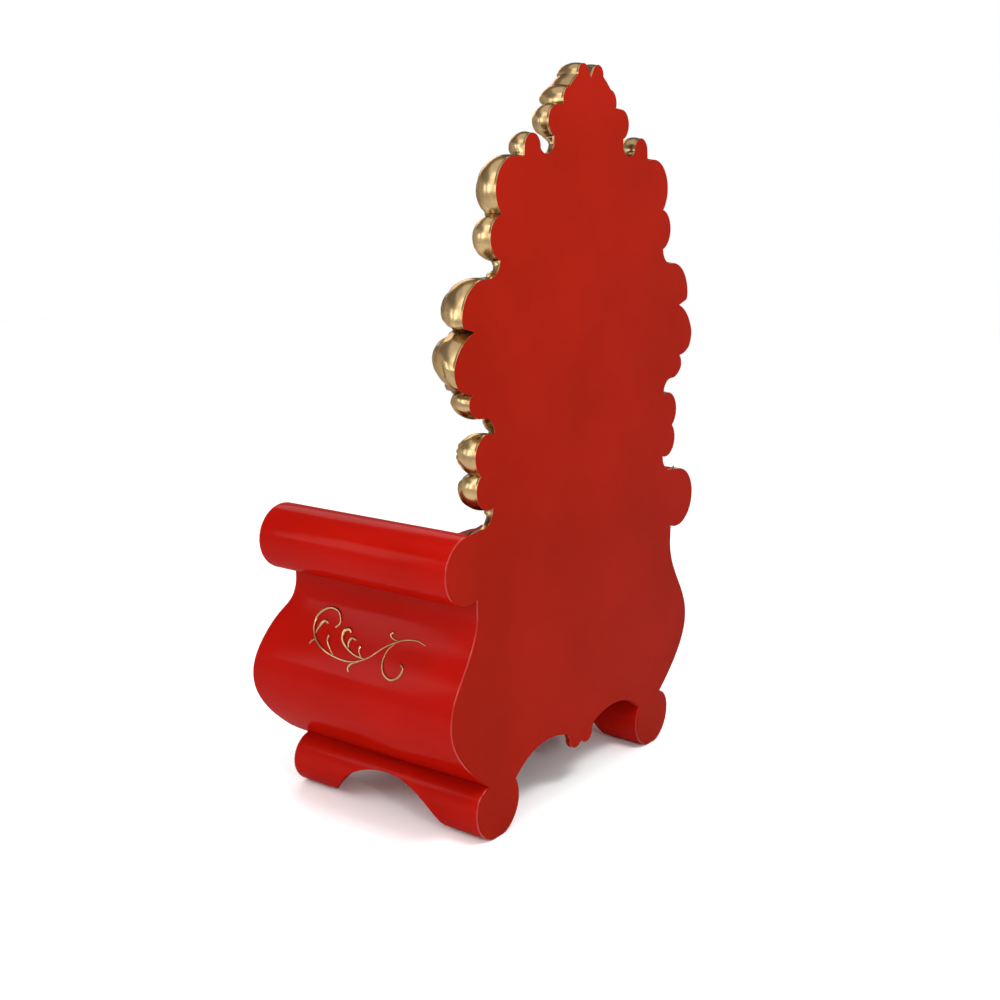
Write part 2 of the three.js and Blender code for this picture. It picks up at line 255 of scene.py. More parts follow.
def distance_to(points: Array, line: Array, chunk: int = 4000) -> Array:
    """Shortest distance from each point to a line of straight pieces.

    The foot of the perpendicular on each piece is held between its two ends, and the
    nearest of all pieces counts.

    Args:
        points: Points, one to a row.
        line: Points of the line.
        chunk: How many points are worked on at a time.

    Returns:
        One distance for each point, in mm.
    """
    start, step = line[:-1], np.diff(line, axis=0)
    length = np.maximum((step * step).sum(axis=1), TINY)
    found = []
    for first in range(0, len(points), chunk):
        gap = points[first : first + chunk, None, :] - start[None]
        along = np.clip((gap * step).sum(axis=2) / length, 0, 1)
        found.append(np.linalg.norm(gap - along[..., None] * step, axis=2).min(axis=1))
    return np.concatenate(found)


def inside(points: Array, loops: Sequence[Array], chunk: int = 4000) -> Array:
    """Whether each point lies inside an odd number of closed loops.

    A ray along x is counted against every edge that spans the point's height.

    Args:
        points: Points, one to a row.
        loops: Closed loops of points.
        chunk: How many points are worked on at a time.

    Returns:
        True for each point inside.
    """
    odd = np.zeros(len(points), bool)
    for loop in loops:
        x0, y0 = loop.T
        x1, y1 = np.roll(loop, -1, axis=0).T
        rise = np.where(np.abs(y1 - y0) < 1e-12, 1e-12, y1 - y0)
        for first in range(0, len(points), chunk):
            x, y = points[first : first + chunk, :, None].transpose(1, 0, 2)
            spans = (y0 > y) != (y1 > y)
            hits = (spans & (x < x0 + (y - y0) * (x1 - x0) / rise)).sum(axis=1)
            odd[first : first + chunk] ^= hits % 2 == 1
    return odd


def fill(loops: Sequence[Array], spacing: float) -> tuple[Array, Array]:
    """Covers the area between closed loops with triangles.

    Points of a triangular lattice that lie inside, and not too near a loop, are joined
    with the loops' own points by a constrained Delaunay triangulation.

    Args:
        loops: The outer loop, and any loops of holes.
        spacing: Distance between lattice points.

    Returns:
        The points, those of the loops first and in order, and the triangles.
    """
    border = np.concatenate(loops)
    low, high = border.min(axis=0), border.max(axis=0)
    ys = np.arange(low[1] + spacing / 2, high[1], spacing * 0.866)
    xs = np.arange(low[0] - spacing, high[0] + spacing, spacing)
    grid_x, grid_y = np.meshgrid(xs, ys)
    grid_x[::2] += spacing / 2
    lattice = np.stack([grid_x.ravel(), grid_y.ravel()], axis=1)
    lattice = lattice[inside(lattice, loops)]
    for loop in loops:
        if len(lattice):
            closed = np.concatenate([loop, loop[:1]])
            lattice = lattice[distance_to(lattice, closed) > spacing * 0.55]
    points = np.concatenate([border, lattice])
    edges = []
    first = 0
    for loop in loops:
        index = np.arange(first, first + len(loop))
        edges.append(np.stack([index, np.roll(index, -1)], axis=1))
        first += len(loop)
    _, _, faces, origins, _, _ = delaunay_2d_cdt(
        [Vector(p) for p in points.tolist()], np.concatenate(edges).tolist(), [], 0, 1e-5
    )
    names = np.array([origin[0] if origin else -1 for origin in origins])
    triangles = names[np.array(faces)]
    centres = points[triangles].mean(axis=1)
    return points, triangles[inside(centres, loops)]


# ------------------------------------------------------------------- meshes


def grid_faces(rows: int, cols: int, wrap: bool = True, first: int = 0) -> Array:
    """Quads that join a grid of points, row by row, closed along each row if it wraps.

    Args:
        rows: Number of rows.
        cols: Number of points in a row.
        wrap: Whether each row closes on itself.
        first: Number of the first point.

    Returns:
        Numbers of each quad's corners.
    """
    row = np.arange(rows - 1)[:, None] * cols
    col = np.arange(cols if wrap else cols - 1)[None]
    right = (col + 1) % cols
    quads = np.stack([row + col, row + right, row + cols + right, row + cols + col], axis=-1)
    return quads.reshape(-1, 4) + first


class Solid:
    """Collects parts of one closed mesh, each with the number of its material."""

    def __init__(self) -> None:
        """Starts with nothing."""
        self.points: list[Array] = []
        self.faces: list[list[int]] = []
        self.finishes: list[int] = []
        self.count = 0

    def add_points(self, points: Array) -> int:
        """Adds points, in metres, and returns the number of the first.

        Args:
            points: Points, one to a row.

        Returns:
            Number of the first point.
        """
        first = self.count
        self.points.append(points.reshape(-1, 3))
        self.count += len(self.points[-1])
        return first

    def add_faces(self, faces: Array, finish: int | Array = 0) -> None:
        """Adds faces between points already added, with one finish or one for each."""
        self.faces += faces.tolist()
        self.finishes += np.broadcast_to(finish, len(faces)).tolist()

    def add_cap(self, ring: Array, finish: int = 0) -> None:
        """Adds one flat face with the given points as its corners."""
        self.faces.append(ring.tolist())
        self.finishes.append(finish)

    def add_rings(self, points: Array) -> None:
        """Adds rings of points, in metres, as a tube with a flat face at each end.

        Args:
            points: Points, one to a row.
        """
        rows, count = points.shape[:2]
        first = self.add_points(points)
        self.add_faces(grid_faces(rows, count, first=first))
        self.add_cap(np.arange(first, first + count)[::-1])
        last = first + (rows - 1) * count
        self.add_cap(np.arange(last, last + count))

    def put_on(self, hand: Hand) -> None:
        """Mirrors a solid drawn on the sitter's left if it belongs on the right."""
        for points in self.points:
            points[:, 0] *= hand.value

    def build(self, name: str, materials: Sequence[Material],
              sharp: float = 40.0) -> Piece:
        """Makes the object, with its faces pointing out.

        Args:
            name: The piece's name.
            materials: The materials that the finish numbers stand for.
            sharp: Edges that turn by more than this many degrees stay crisp.

        Returns:
            The new object, at the origin.
        """
        mesh = bpy.data.meshes.new(name)
        mesh.from_pydata(np.concatenate(self.points).tolist(), [], self.faces)
        mesh.update()
        for material in materials:
            mesh.materials.append(material)
        mesh.polygons.foreach_set("material_index", self.finishes)
        face_out(mesh)
        mesh.polygons.foreach_set("use_smooth", [True] * len(mesh.polygons))
        mesh.set_sharp_from_angle(angle=math.radians(sharp))
        piece = bpy.data.objects.new(name, mesh)
        bpy.context.scene.collection.objects.link(piece)
        return piece


def face_out(mesh: bpy.types.Mesh) -> None:
    """Merges doubled points and turns every closed shell of a mesh so that it faces out.

    Args:
        mesh: The mesh.
    """
    work = bmesh.new()
    work.from_mesh(mesh)
    bmesh.ops.remove_doubles(work, verts=work.verts, dist=1e-6)
    bmesh.ops.recalc_face_normals(work, faces=work.faces)
    if work.calc_volume(signed=True) < 0:
        bmesh.ops.reverse_faces(work, faces=work.faces)
    work.to_mesh(mesh)
    work.free()


@dataclass
class Prism:
    """A closed shell between a rear and a front surface, with one outline and soft edges.

    Attributes:
        loop: Its outline.
        rear: Forward distance of the rear surface at a point.
        front: Forward distance of the front surface at a point.
        rear_round: Radius of the rear edge, one value for each outline point.
        front_round: Radius of the front edge, the same way.
        spacing: Distance between points inside the front surface.
        walls: Number of rows along the wall.
    """

    loop: Array
    rear: Surface
    front: Surface
    rear_round: Array | float = 0.0
    front_round: Array | float = 0.0
    spacing: float = 12.0
    walls: int = 8

    EDGE_STEPS = 6   # points round each soft edge
    MARGIN = 0.8     # width of the flat strip inside each edge
    REAR_BANDS = 4   # bands from the rear that always take the first finish

    def rows(self) -> list[tuple[Array, Array]]:
        """Rings from the rear surface round to the front one, each as points and depths.

        An edge is a quarter circle: its inset is r times one less the sine, or the cosine,
        of the turn, and its depth the other one.

        Returns:
            The rings, rear to front.
        """
        normal = outward(self.loop)
        rear_r = np.broadcast_to(self.rear_round, len(self.loop)).astype(float)
        front_r = np.broadcast_to(self.front_round, len(self.loop)).astype(float)
        found = []

        def ring(inset: Array, surface: Surface, lift: Array) -> None:
            """Adds one ring, a way in from the outline and off a surface."""
            points = self.loop - normal * inset[:, None]
            found.append((points, surface(points[:, 0], points[:, 1]) + lift))

        ring(rear_r + self.MARGIN, self.rear, 0 * rear_r)
        for turn in np.linspace(0, math.pi / 2, self.EDGE_STEPS):
            ring(rear_r * (1 - math.sin(turn)), self.rear, rear_r * (1 - math.cos(turn)))
        x, y = self.loop.T
        low, high = self.rear(x, y) + rear_r, self.front(x, y) - front_r
        for t in np.linspace(0, 1, self.walls + 2)[1:-1]:
            found.append((self.loop, low + (high - low) * t))
        for turn in np.linspace(0, math.pi / 2, self.EDGE_STEPS):
            ring(front_r * (1 - math.cos(turn)), self.front, front_r * (math.sin(turn) - 1))
        ring(front_r + self.MARGIN, self.front, 0 * front_r)
        return found

    def add_to(self, solid: Solid, wall_finish: int | Array = 0, flat_front: bool = False) -> None:
        """Adds the shell to a solid.

        Args:
            solid: What it is added to.
            wall_finish: Finish of the wall, one number or one for each outline point.
            flat_front: Whether the front is one flat face instead of a fine net.
        """
        rows = self.rows()
        points = np.stack([place(ring[:, 0], ring[:, 1], depth) for ring, depth in rows])
        count = len(self.loop)
        first = solid.add_points(points)
        quads = grid_faces(len(rows), count, first=first)
        finish = np.broadcast_to(wall_finish, count)
        bands = len(rows) - 1 - self.REAR_BANDS
        solid.add_faces(quads, np.concatenate([
            np.zeros(self.REAR_BANDS * count, int), np.tile(finish, bands)]))
        solid.add_cap(np.arange(first, first + count))
        last = first + (len(rows) - 1) * count
        if flat_front:
            solid.add_cap(np.arange(last, last + count)[::-1])
            return
        flat, triangles = fill([rows[-1][0]], self.spacing)
        extra = flat[count:]
        more = solid.add_points(place(extra[:, 0], extra[:, 1], self.front(extra[:, 0], extra[:, 1])))
        names = np.concatenate([np.arange(last, last + count), np.arange(more, more + len(extra))])
        solid.add_faces(names[triangles])


def level(depth: float) -> Surface:
    """A flat surface at one forward distance."""
    return lambda x, y: np.full(np.shape(x), float(depth))


def smooth_step(low: float, high: float, value: Array) -> Array:
    """0 below low, 1 above high, and the cubic 3t^2 - 2t^3 between them."""
    t = np.clip((value - low) / (high - low), 0, 1)
    return t * t * (3 - 2 * t)


# ---------------------------------------------------------------- materials


def tint(code: str) -> tuple[float, float, float, float]:
    """An sRGB hex colour as the linear colour that a shader takes.

    Args:
        code: The colour as a hex code.

    Returns:
        Red, green, blue and opacity.
    """
    parts = np.array([int(code[i : i + 2], 16) for i in (1, 3, 5)]) / 255
    linear = np.where(parts <= 0.04045, parts / 12.92, ((parts + 0.055) / 1.055) ** 2.4)
    return (*linear.tolist(), 1.0)


class Recipe:
    """A material's node tree while it is put together."""

    def __init__(self, name: str) -> None:
        """Starts a material with a principled shader and object coordinates.

        Args:
            name: Name of the material.
        """
        self.material = bpy.data.materials.new(name)
        self.material.use_nodes = True
        self.tree = self.material.node_tree
        self.shader = self.tree.nodes["Principled BSDF"]
        self.where = self.add("ShaderNodeTexCoord").outputs["Object"]

    def add(self, kind: str, links: dict | None = None, **settings) -> bpy.types.Node:
        """Adds a node.

        Args:
            kind: The node's type.
            links: Its inputs by name or number, each a value or another node's output.
            **settings: Its own properties.

        Returns:
            The node.
        """
        node = self.tree.nodes.new(kind)
        for key, value in settings.items():
            setattr(node, key, value)
        self.connect(node, links or {})
        return node

    def connect(self, node: bpy.types.Node, links: dict) -> None:
        """Sets a node's inputs to values or joins them to outputs.

        Args:
            node: The node to set.
            links: A value or an output for each input's name.
        """
        for key, value in links.items():
            if isinstance(value, Socket):
                self.tree.links.new(value, node.inputs[key])
            else:
                node.inputs[key].default_value = value

    def ramp(self, factor: Socket, stops: Sequence[tuple[float, str]]) -> Socket:
        """A colour ramp between hex colours at given places, and its output.

        Args:
            factor: Output that drives the colours.
            stops: Places and hex colours.

        Returns:
            The ramp's output.
        """
        node = self.add("ShaderNodeValToRGB", {"Fac": factor})
        elements = node.color_ramp.elements
        while len(elements) < len(stops):
            elements.new(1.0)
        for element, (position, code) in zip(elements, stops):
            element.position = position
            element.color = tint(code)
        return node.outputs["Color"]

    def blend(self, factor: object, first: object, second: object) -> Socket:
        """A mix of two colours, each a value or an output.

        Args:
            factor: Share of the second colour.
            first: The first colour.
            second: The second colour.

        Returns:
            The mix's output.
        """
        node = self.add("ShaderNodeMix", data_type="RGBA")
        self.connect(node, {0: factor, 6: first, 7: second})
        return node.outputs[2]

    def noise(self, size_mm: float, detail: float = 2.0, rough: float = 0.5) -> Socket:
        """Noise whose features are about a given size, as its factor output.

        Args:
            size_mm: Size of a feature.
            detail: Levels of detail.
            rough: Share of the fine levels.

        Returns:
            The noise's output.
        """
        settings = {"Vector": self.where, "Scale": 1 / (size_mm * MM), "Detail": detail,
                    "Roughness": rough}
        return self.add("ShaderNodeTexNoise", settings).outputs["Fac"]

    def spread(self, factor: Socket, low: float, high: float) -> Socket:
        """A factor between 0 and 1 stretched to run from low to high."""
        links = {"Value": factor, "To Min": low, "To Max": high}
        return self.add("ShaderNodeMapRange", links).outputs["Result"]


@dataclass(frozen=True)
class LacquerFinish:
    """Red polyester gel-coat over moulded fibreglass, polished.

    The real surface is a pigmented gel coat about 0.5 mm thick, sprayed in a polished
    mould: deep red, glossy, with a faint orange peel of a few millimetres and a broad wave
    from the mould. Its colour clouds over a hand's width or two.
    """

    name: str
    light: str
    dark: str
    roughness: float
    coat: float
    shine: float
    peel_mm: float = 5.0
    peel_depth_mm: float = 0.012
    wave_mm: float = 130.0
    wave_depth_mm: float = 0.9
    cloud_mm: float = 260.0
    haze_mm: float = 90.0

    def make(self) -> Material:
        """Builds the material.

        Returns:
            The material.
        """
        recipe = Recipe(self.name)
        cloud = recipe.noise(self.cloud_mm, 3)
        colour = recipe.ramp(cloud, [(0.35, self.dark), (0.65, self.light)])
        haze = recipe.spread(
            recipe.noise(self.haze_mm, 4, 0.6), self.roughness * 0.85, self.roughness * 1.2)
        peel = recipe.add("ShaderNodeBump", {
            "Height": recipe.noise(self.peel_mm, 1), "Strength": 0.25,
            "Distance": self.peel_depth_mm * MM})
        wave = recipe.add("ShaderNodeBump", {
            "Height": recipe.noise(self.wave_mm, 1), "Strength": 0.5,
            "Distance": self.wave_depth_mm * MM, "Normal": peel.outputs["Normal"]})
        recipe.connect(recipe.shader, {
            "Base Color": colour, "Roughness": haze, "Normal": wave.outputs["Normal"],
            "IOR": 1.5, "Specular IOR Level": self.shine,
            "Coat Weight": self.coat, "Coat Roughness": 0.7 * self.roughness,
            "Coat IOR": 1.5})
        return recipe.material


@dataclass(frozen=True)
class GiltFinish:
    """Gold-coloured leaf laid over a moulded carving and toned with a brown wash and painted shade.

    Leaf comes in squares about 80 mm wide whose tones differ a little; the brown, partly wash
    and partly painted shade, stays in the hollows that the mesh's "hollow" attribute marks, and rubs
    off the crowns.
    """

    name: str
    bright: str
    body: str
    # brown of the hollows: a toning wash, and painted shade as well
    wash_and_shade: str
    rim: str
    roughness: float
    leaf_mm: float = 80.0
    mottle_mm: float = 22.0
    rub_mm: float = 14.0
    dent_mm: float = 11.0
    grime_and_shade_mm: float = 9.0

    def make(self) -> Material:
        """Builds the material.

        Returns:
            The material.
        """
        recipe = Recipe(self.name)
        leaves = recipe.add("ShaderNodeTexVoronoi", {
            "Vector": recipe.where, "Scale": 1 / (self.leaf_mm * MM), "Randomness": 0.6})
        tone = recipe.add("ShaderNodeSeparateColor", {"Color": leaves.outputs["Color"]}).outputs[0]
        mottle = recipe.spread(recipe.noise(self.mottle_mm, 4, 0.5), 0.2, 0.8)
        mixed = recipe.add("ShaderNodeMath", {0: recipe.spread(tone, 0, 0.45), 1: mottle},
                           operation="ADD")
        colour = recipe.ramp(mixed.outputs[0], [(0.35, self.body), (0.95, self.bright)])
        # painted shade: where the mesh is hollow the colour turns to the brown, which stands for both
        # a wash and the shade in those hollows
        hollow = recipe.add("ShaderNodeAttribute", attribute_name="hollow").outputs["Fac"]
        patchy = recipe.spread(recipe.noise(self.grime_and_shade_mm, 4), 0.5, 1.2)
        grime_and_shade = recipe.add("ShaderNodeMath", {0: hollow, 1: patchy},
                           operation="MULTIPLY", use_clamp=True)
        shade = recipe.blend(grime_and_shade.outputs[0], colour, tint(self.wash_and_shade))
        sheen = recipe.add("ShaderNodeMath", {0: grime_and_shade.outputs[0], 1: 0.35}, operation="MULTIPLY")
        rubbed = recipe.noise(self.rub_mm, 4, 0.65)
        rough = recipe.add("ShaderNodeMath", {
            0: recipe.spread(rubbed, self.roughness * 0.75, self.roughness * 1.35),
            1: sheen.outputs[0]}, operation="ADD", use_clamp=True)
        bump = recipe.add("ShaderNodeBump", {
            "Height": recipe.noise(self.dent_mm, 2, 0.5), "Strength": 0.3, "Distance": 0.12 * MM})
        recipe.connect(recipe.shader, {
            "Base Color": shade, "Metallic": 1.0, "Specular Tint": tint(self.rim),
            "Coat Weight": 0.35, "Coat Roughness": 0.11,
            "Roughness": rough.outputs[0], "Normal": bump.outputs["Normal"]})
        return recipe.material


@dataclass(frozen=True)
class VelvetFinish:
    """Cut-pile cotton velvet, woven and dyed.

    The pile stands up, so the cloth is dark face on and pale at grazing angles, with
    brushed patches about a hand wide where the pile leans.
    """

    name: str
    light: str
    dark: str
    edge: str
    brushed_mm: float = 110.0
    tuft_mm: float = 1.6

    def make(self) -> Material:
        """Builds the material.

        Returns:
            The material.
        """
        recipe = Recipe(self.name)
        brushed = recipe.noise(self.brushed_mm, 4, 0.62)
        colour = recipe.ramp(brushed, [(0.25, self.dark), (0.75, self.light)])
        # pile tufts are under 1 mm and are drawn at 1.6 mm so that they show
        pile = recipe.add("ShaderNodeBump", {
            "Height": recipe.noise(self.tuft_mm, 2, 0.7), "Strength": 0.4, "Distance": 0.5 * MM})
        recipe.connect(recipe.shader, {
            "Base Color": colour, "Roughness": 0.85, "Normal": pile.outputs["Normal"],
            "Sheen Weight": 0.6, "Sheen Roughness": 0.35, "Sheen Tint": tint(self.edge),
            "Specular IOR Level": 0.2})
        return recipe.material


# ----------------------------------------------------------------- outlines


@dataclass(frozen=True)
class Profile:
    """Sizes of the throne's outline and of its bombe body, in mm.

    The body swells from a waist to its belly and tucks in to a notch above round feet.
    """

    roll: tuple[float, float, float] = (473.5, 685, 81)
    roll_end: float = -2.0
    roll_front: float = 585
    shoulder: tuple[float, float] = (486, 765)
    waist: tuple[float, float] = (439, 570)
    belly: tuple[float, float] = (538, 330)
    notch: tuple[float, float] = (400.5, 142)
    foot: tuple[float, float, float] = (360, 81.6, 84)
    tuck: float = math.pi - 0.55
    ledge: tuple[float, float] = (300, 180)
    depth: float = 645
    waist_front: float = 580
    notch_front: float = 597
    belly_front_y: float = 240
    inner: float = 392.5
    cleft_y: float = 1770
    bud: tuple[float, float] = (31, 23)

    def draw_lobes(self, pen: Pen) -> None:
        """Draws the crest and the carved lobes, down to the shoulder above the arm.

        Args:
            pen: The pen that draws.
        """
        pen.arc(self.bud[0], HEIGHT - self.bud[1], self.bud[1], 2.6, -0.1)
        pen.line(71, 1762)
        pen.line(88, 1747)
        pen.bulge(113, 1706, 31)
        pen.line(146, 1703)
        pen.bulge(149, 1634, 36)
        pen.line(149, 1616)
        pen.hollow(203, 1606, 31)
        pen.line(203.5, 1613.5)
        pen.bulge(264.5, 1613.5, 31)
        pen.line(267, 1589)
        pen.line(278, 1586)
        pen.bulge(352, 1464, 74)
        pen.bulge(356, 1364, 52)
        pen.hollow(396, 1326, 42)
        pen.bulge(493, 1240, 85)
        pen.bulge(484, 1225, 16)
        pen.line(450, 1215)
        pen.bulge(521, 1142, 110)
        pen.bulge(508, 1098, 60)
        pen.bulge(459, 1080, 90)
        pen.bulge(468, 1048, 30)
        pen.bulge(432, 1023, 60)
        pen.line(410, 1022)
        pen.hollow(378, 982, 38)
        pen.bulge(428, 894, 51)
        pen.bulge(382, 814, 47)
        pen.hollow(432, 771, 46)

    def draw_roll(self, pen: Pen) -> None:
        """Draws the shoulder and the round of the arm roll, down to the notch below it.

        Args:
            pen: The pen that draws.
        """
        x, y, r = self.roll
        pen.line(*self.shoulder)
        start = math.atan2(self.shoulder[1] - y, self.shoulder[0] - x)
        pen.arc(x, y, r, start, self.roll_end)

    def draw_belly(self, pen: Pen) -> None:
        """Draws the bombe side, from the arm roll down to the notch above the foot.

        Args:
            pen: The pen that draws.
        """
        (wx, wy), (bx, by), (nx, ny) = self.waist, self.belly, self.notch
        pen.line(wx, wy)
        pen.curve(wx, 478, bx + 2, 415, bx, by)
        pen.curve(bx, 258, 462, 190, nx, ny)

    def draw_outer_foot(self, pen: Pen) -> None:
        """Draws the outer side of the foot roll, from the notch to the floor.

        Args:
            pen: The pen that draws.
        """
        x, y, r = self.foot
        pen.curve(428, 136, x + r, 112, x + r, y)
        pen.arc(x, y, r, 0, math.asin(-y / r))

    def draw_inner_foot(self, pen: Pen) -> None:
        """Draws the inner side of the foot roll, from the floor up to the arch."""
        x, y, r = self.foot
        pen.arc(x, y, r, math.asin(y / r) - math.pi, self.tuck - 2 * math.pi)

    def draw_arch(self, pen: Pen) -> None:
        """Draws the low arch between the feet, with a two-lobed pendant at its centre.

        Args:
            pen: The pen that draws.
        """
        pen.hollow(170, 178, 190)
        pen.hollow(60, 160, 230)
        pen.line(51, 146)
        pen.bulge(4, 124, 27)
        pen.line(0, 127)

    def back(self, pitch: float) -> Array:
        """The whole outline of the back board.

        Args:
            pitch: Distance between two points, in mm.

        Returns:
            Points of the outline.
        """
        pen = Pen(0, self.cleft_y, pitch)
        for draw in (self.draw_lobes, self.draw_roll, self.draw_belly, self.draw_outer_foot,
                     self.draw_inner_foot, self.draw_arch):
            draw(pen)
        return mirrored(pen.points())

    def between_feet(self, top: float, half: float, pitch: float) -> Array:
        """Outline of what fills the space between the sides, from some height to the arch.

        Args:
            top: Height of its upper edge, in mm.
            half: Half its width, in mm.
            pitch: Distance between two points, in mm.

        Returns:
            Points of the outline.
        """
        x, y, r = self.foot
        pen = Pen(0, top, pitch)
        pen.line(half, top)
        pen.line(half, self.ledge[1])
        pen.line(self.ledge[0] - 0.5, self.ledge[1])
        pen.line(x + r * math.cos(self.tuck), y + r * math.sin(self.tuck))
        self.draw_arch(pen)
        return mirrored(pen.points())

    def opening(self, pitch: float) -> Array:
        """Outline of the opening that the back cushion fills: a leaf with a pointed head.

        Args:
            pitch: Distance between two points, in mm.

        Returns:
            Points of the outline.
        """
        pen = Pen(0, 1575, pitch)
        pen.curve(40, 1490, 215, 1500, 262, 1370)
        pen.curve(290, 1300, 352, 1260, 352, 1150)
        pen.curve(352, 1060, 318, 1030, 318, 940)
        pen.line(318, 562)
        pen.arc(308, 562, 10, 0, -math.pi / 2)
        pen.line(0, 552)
        return mirrored(pen.points())

    def side(self, pitch: float) -> Array:
        """Section of one side above its foot: arm roll, bombe wall and inner face.

        Args:
            pitch: Distance between two points, in mm.

        Returns:
            Points of the outline.
        """
        x, y, r = self.roll
        pen = Pen(self.inner, y, pitch)
        pen.arc(x, y, r, math.pi, self.roll_end)
        self.draw_belly(pen)
        pen.line(292, self.notch[1])
        pen.line(*self.ledge)
        pen.line(self.inner, self.ledge[1])
        pen.line(self.inner, y)
        return pen.points()[:-1]

    def side_x(self, up: Array) -> Array:
        """How far out the bombe wall stands at a height between the notch and the waist.

        Args:
            up: Height, in mm.

        Returns:
            Distance out, in mm.
        """
        pen = Pen(*self.waist, 2.0)
        self.draw_belly(pen)
        x, y = pen.points()[::-1].T
        return np.interp(up, y, x)

    def front(self, x: Array, up: Array) -> Array:
        """Forward distance of the bombe front at a height, the same all across.

        Above the waist it is the flat end of the arm roll.

        Args:
            x: Distance across, in mm; not used.
            up: Height, in mm.

        Returns:
            Forward distance, in mm.
        """
        pen = Pen(self.notch_front, self.notch[1] - 20, 2.0)
        pen.line(self.notch_front, self.notch[1])
        pen.curve(644, 146, self.depth, 175, self.depth, self.belly_front_y)
        pen.curve(self.depth, 555, self.waist_front, 445, self.waist_front, self.waist[1])
        pen.line(self.waist_front, 596)
        pen.line(self.roll_front, 604)
        pen.line(self.roll_front, 900)
        forward, y = pen.points().T
        return np.interp(up, y, forward)


PROFILE = Profile()


# ---------------------------------------------------------------- back board


@dataclass
class BackBoard:
    """The flat lacquered board across the whole back, gilded along its carved edge."""

    thick: float = 6.0
    rail_thick: float = 18.0
    rail_top: float = 205.0
    edge_round: float = 5.0
    carved_round: float = 0.9
    pitch: float = 3.2

    def make(self, satin: Material, gilt: Material,
             buffed: Material) -> Piece:
        """Builds the board: satin faces, an edge gilt above the shoulders and buffed below.

        Args:
            satin: Finish of the flat faces.
            gilt: Finish of gold leaf.
            buffed: Finish of the lower edge.

        Returns:
            The finished piece.
        """
        loop = PROFILE.back(self.pitch)
        carved = smooth_step(764, 774, loop[:, 1])
        edge = self.edge_round + (self.carved_round - self.edge_round) * carved
        board = Prism(loop, level(0), level(self.thick), edge, 0.2, walls=1)
        rail_loop = PROFILE.between_feet(self.rail_top, PROFILE.ledge[0], self.pitch)
        rail = Prism(rail_loop, level(self.thick - 1), level(self.rail_thick), 0.0, 3.0, walls=2)
        solid = Solid()
        board.add_to(solid, np.where(carved > 0.5, 1, 2), flat_front=True)
        rail.add_to(solid, flat_front=True)
        piece = solid.build("back_board", [satin, gilt, buffed], sharp=50)
        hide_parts("back_panel")
        return piece


# --------------------------------------------------------------------- sides


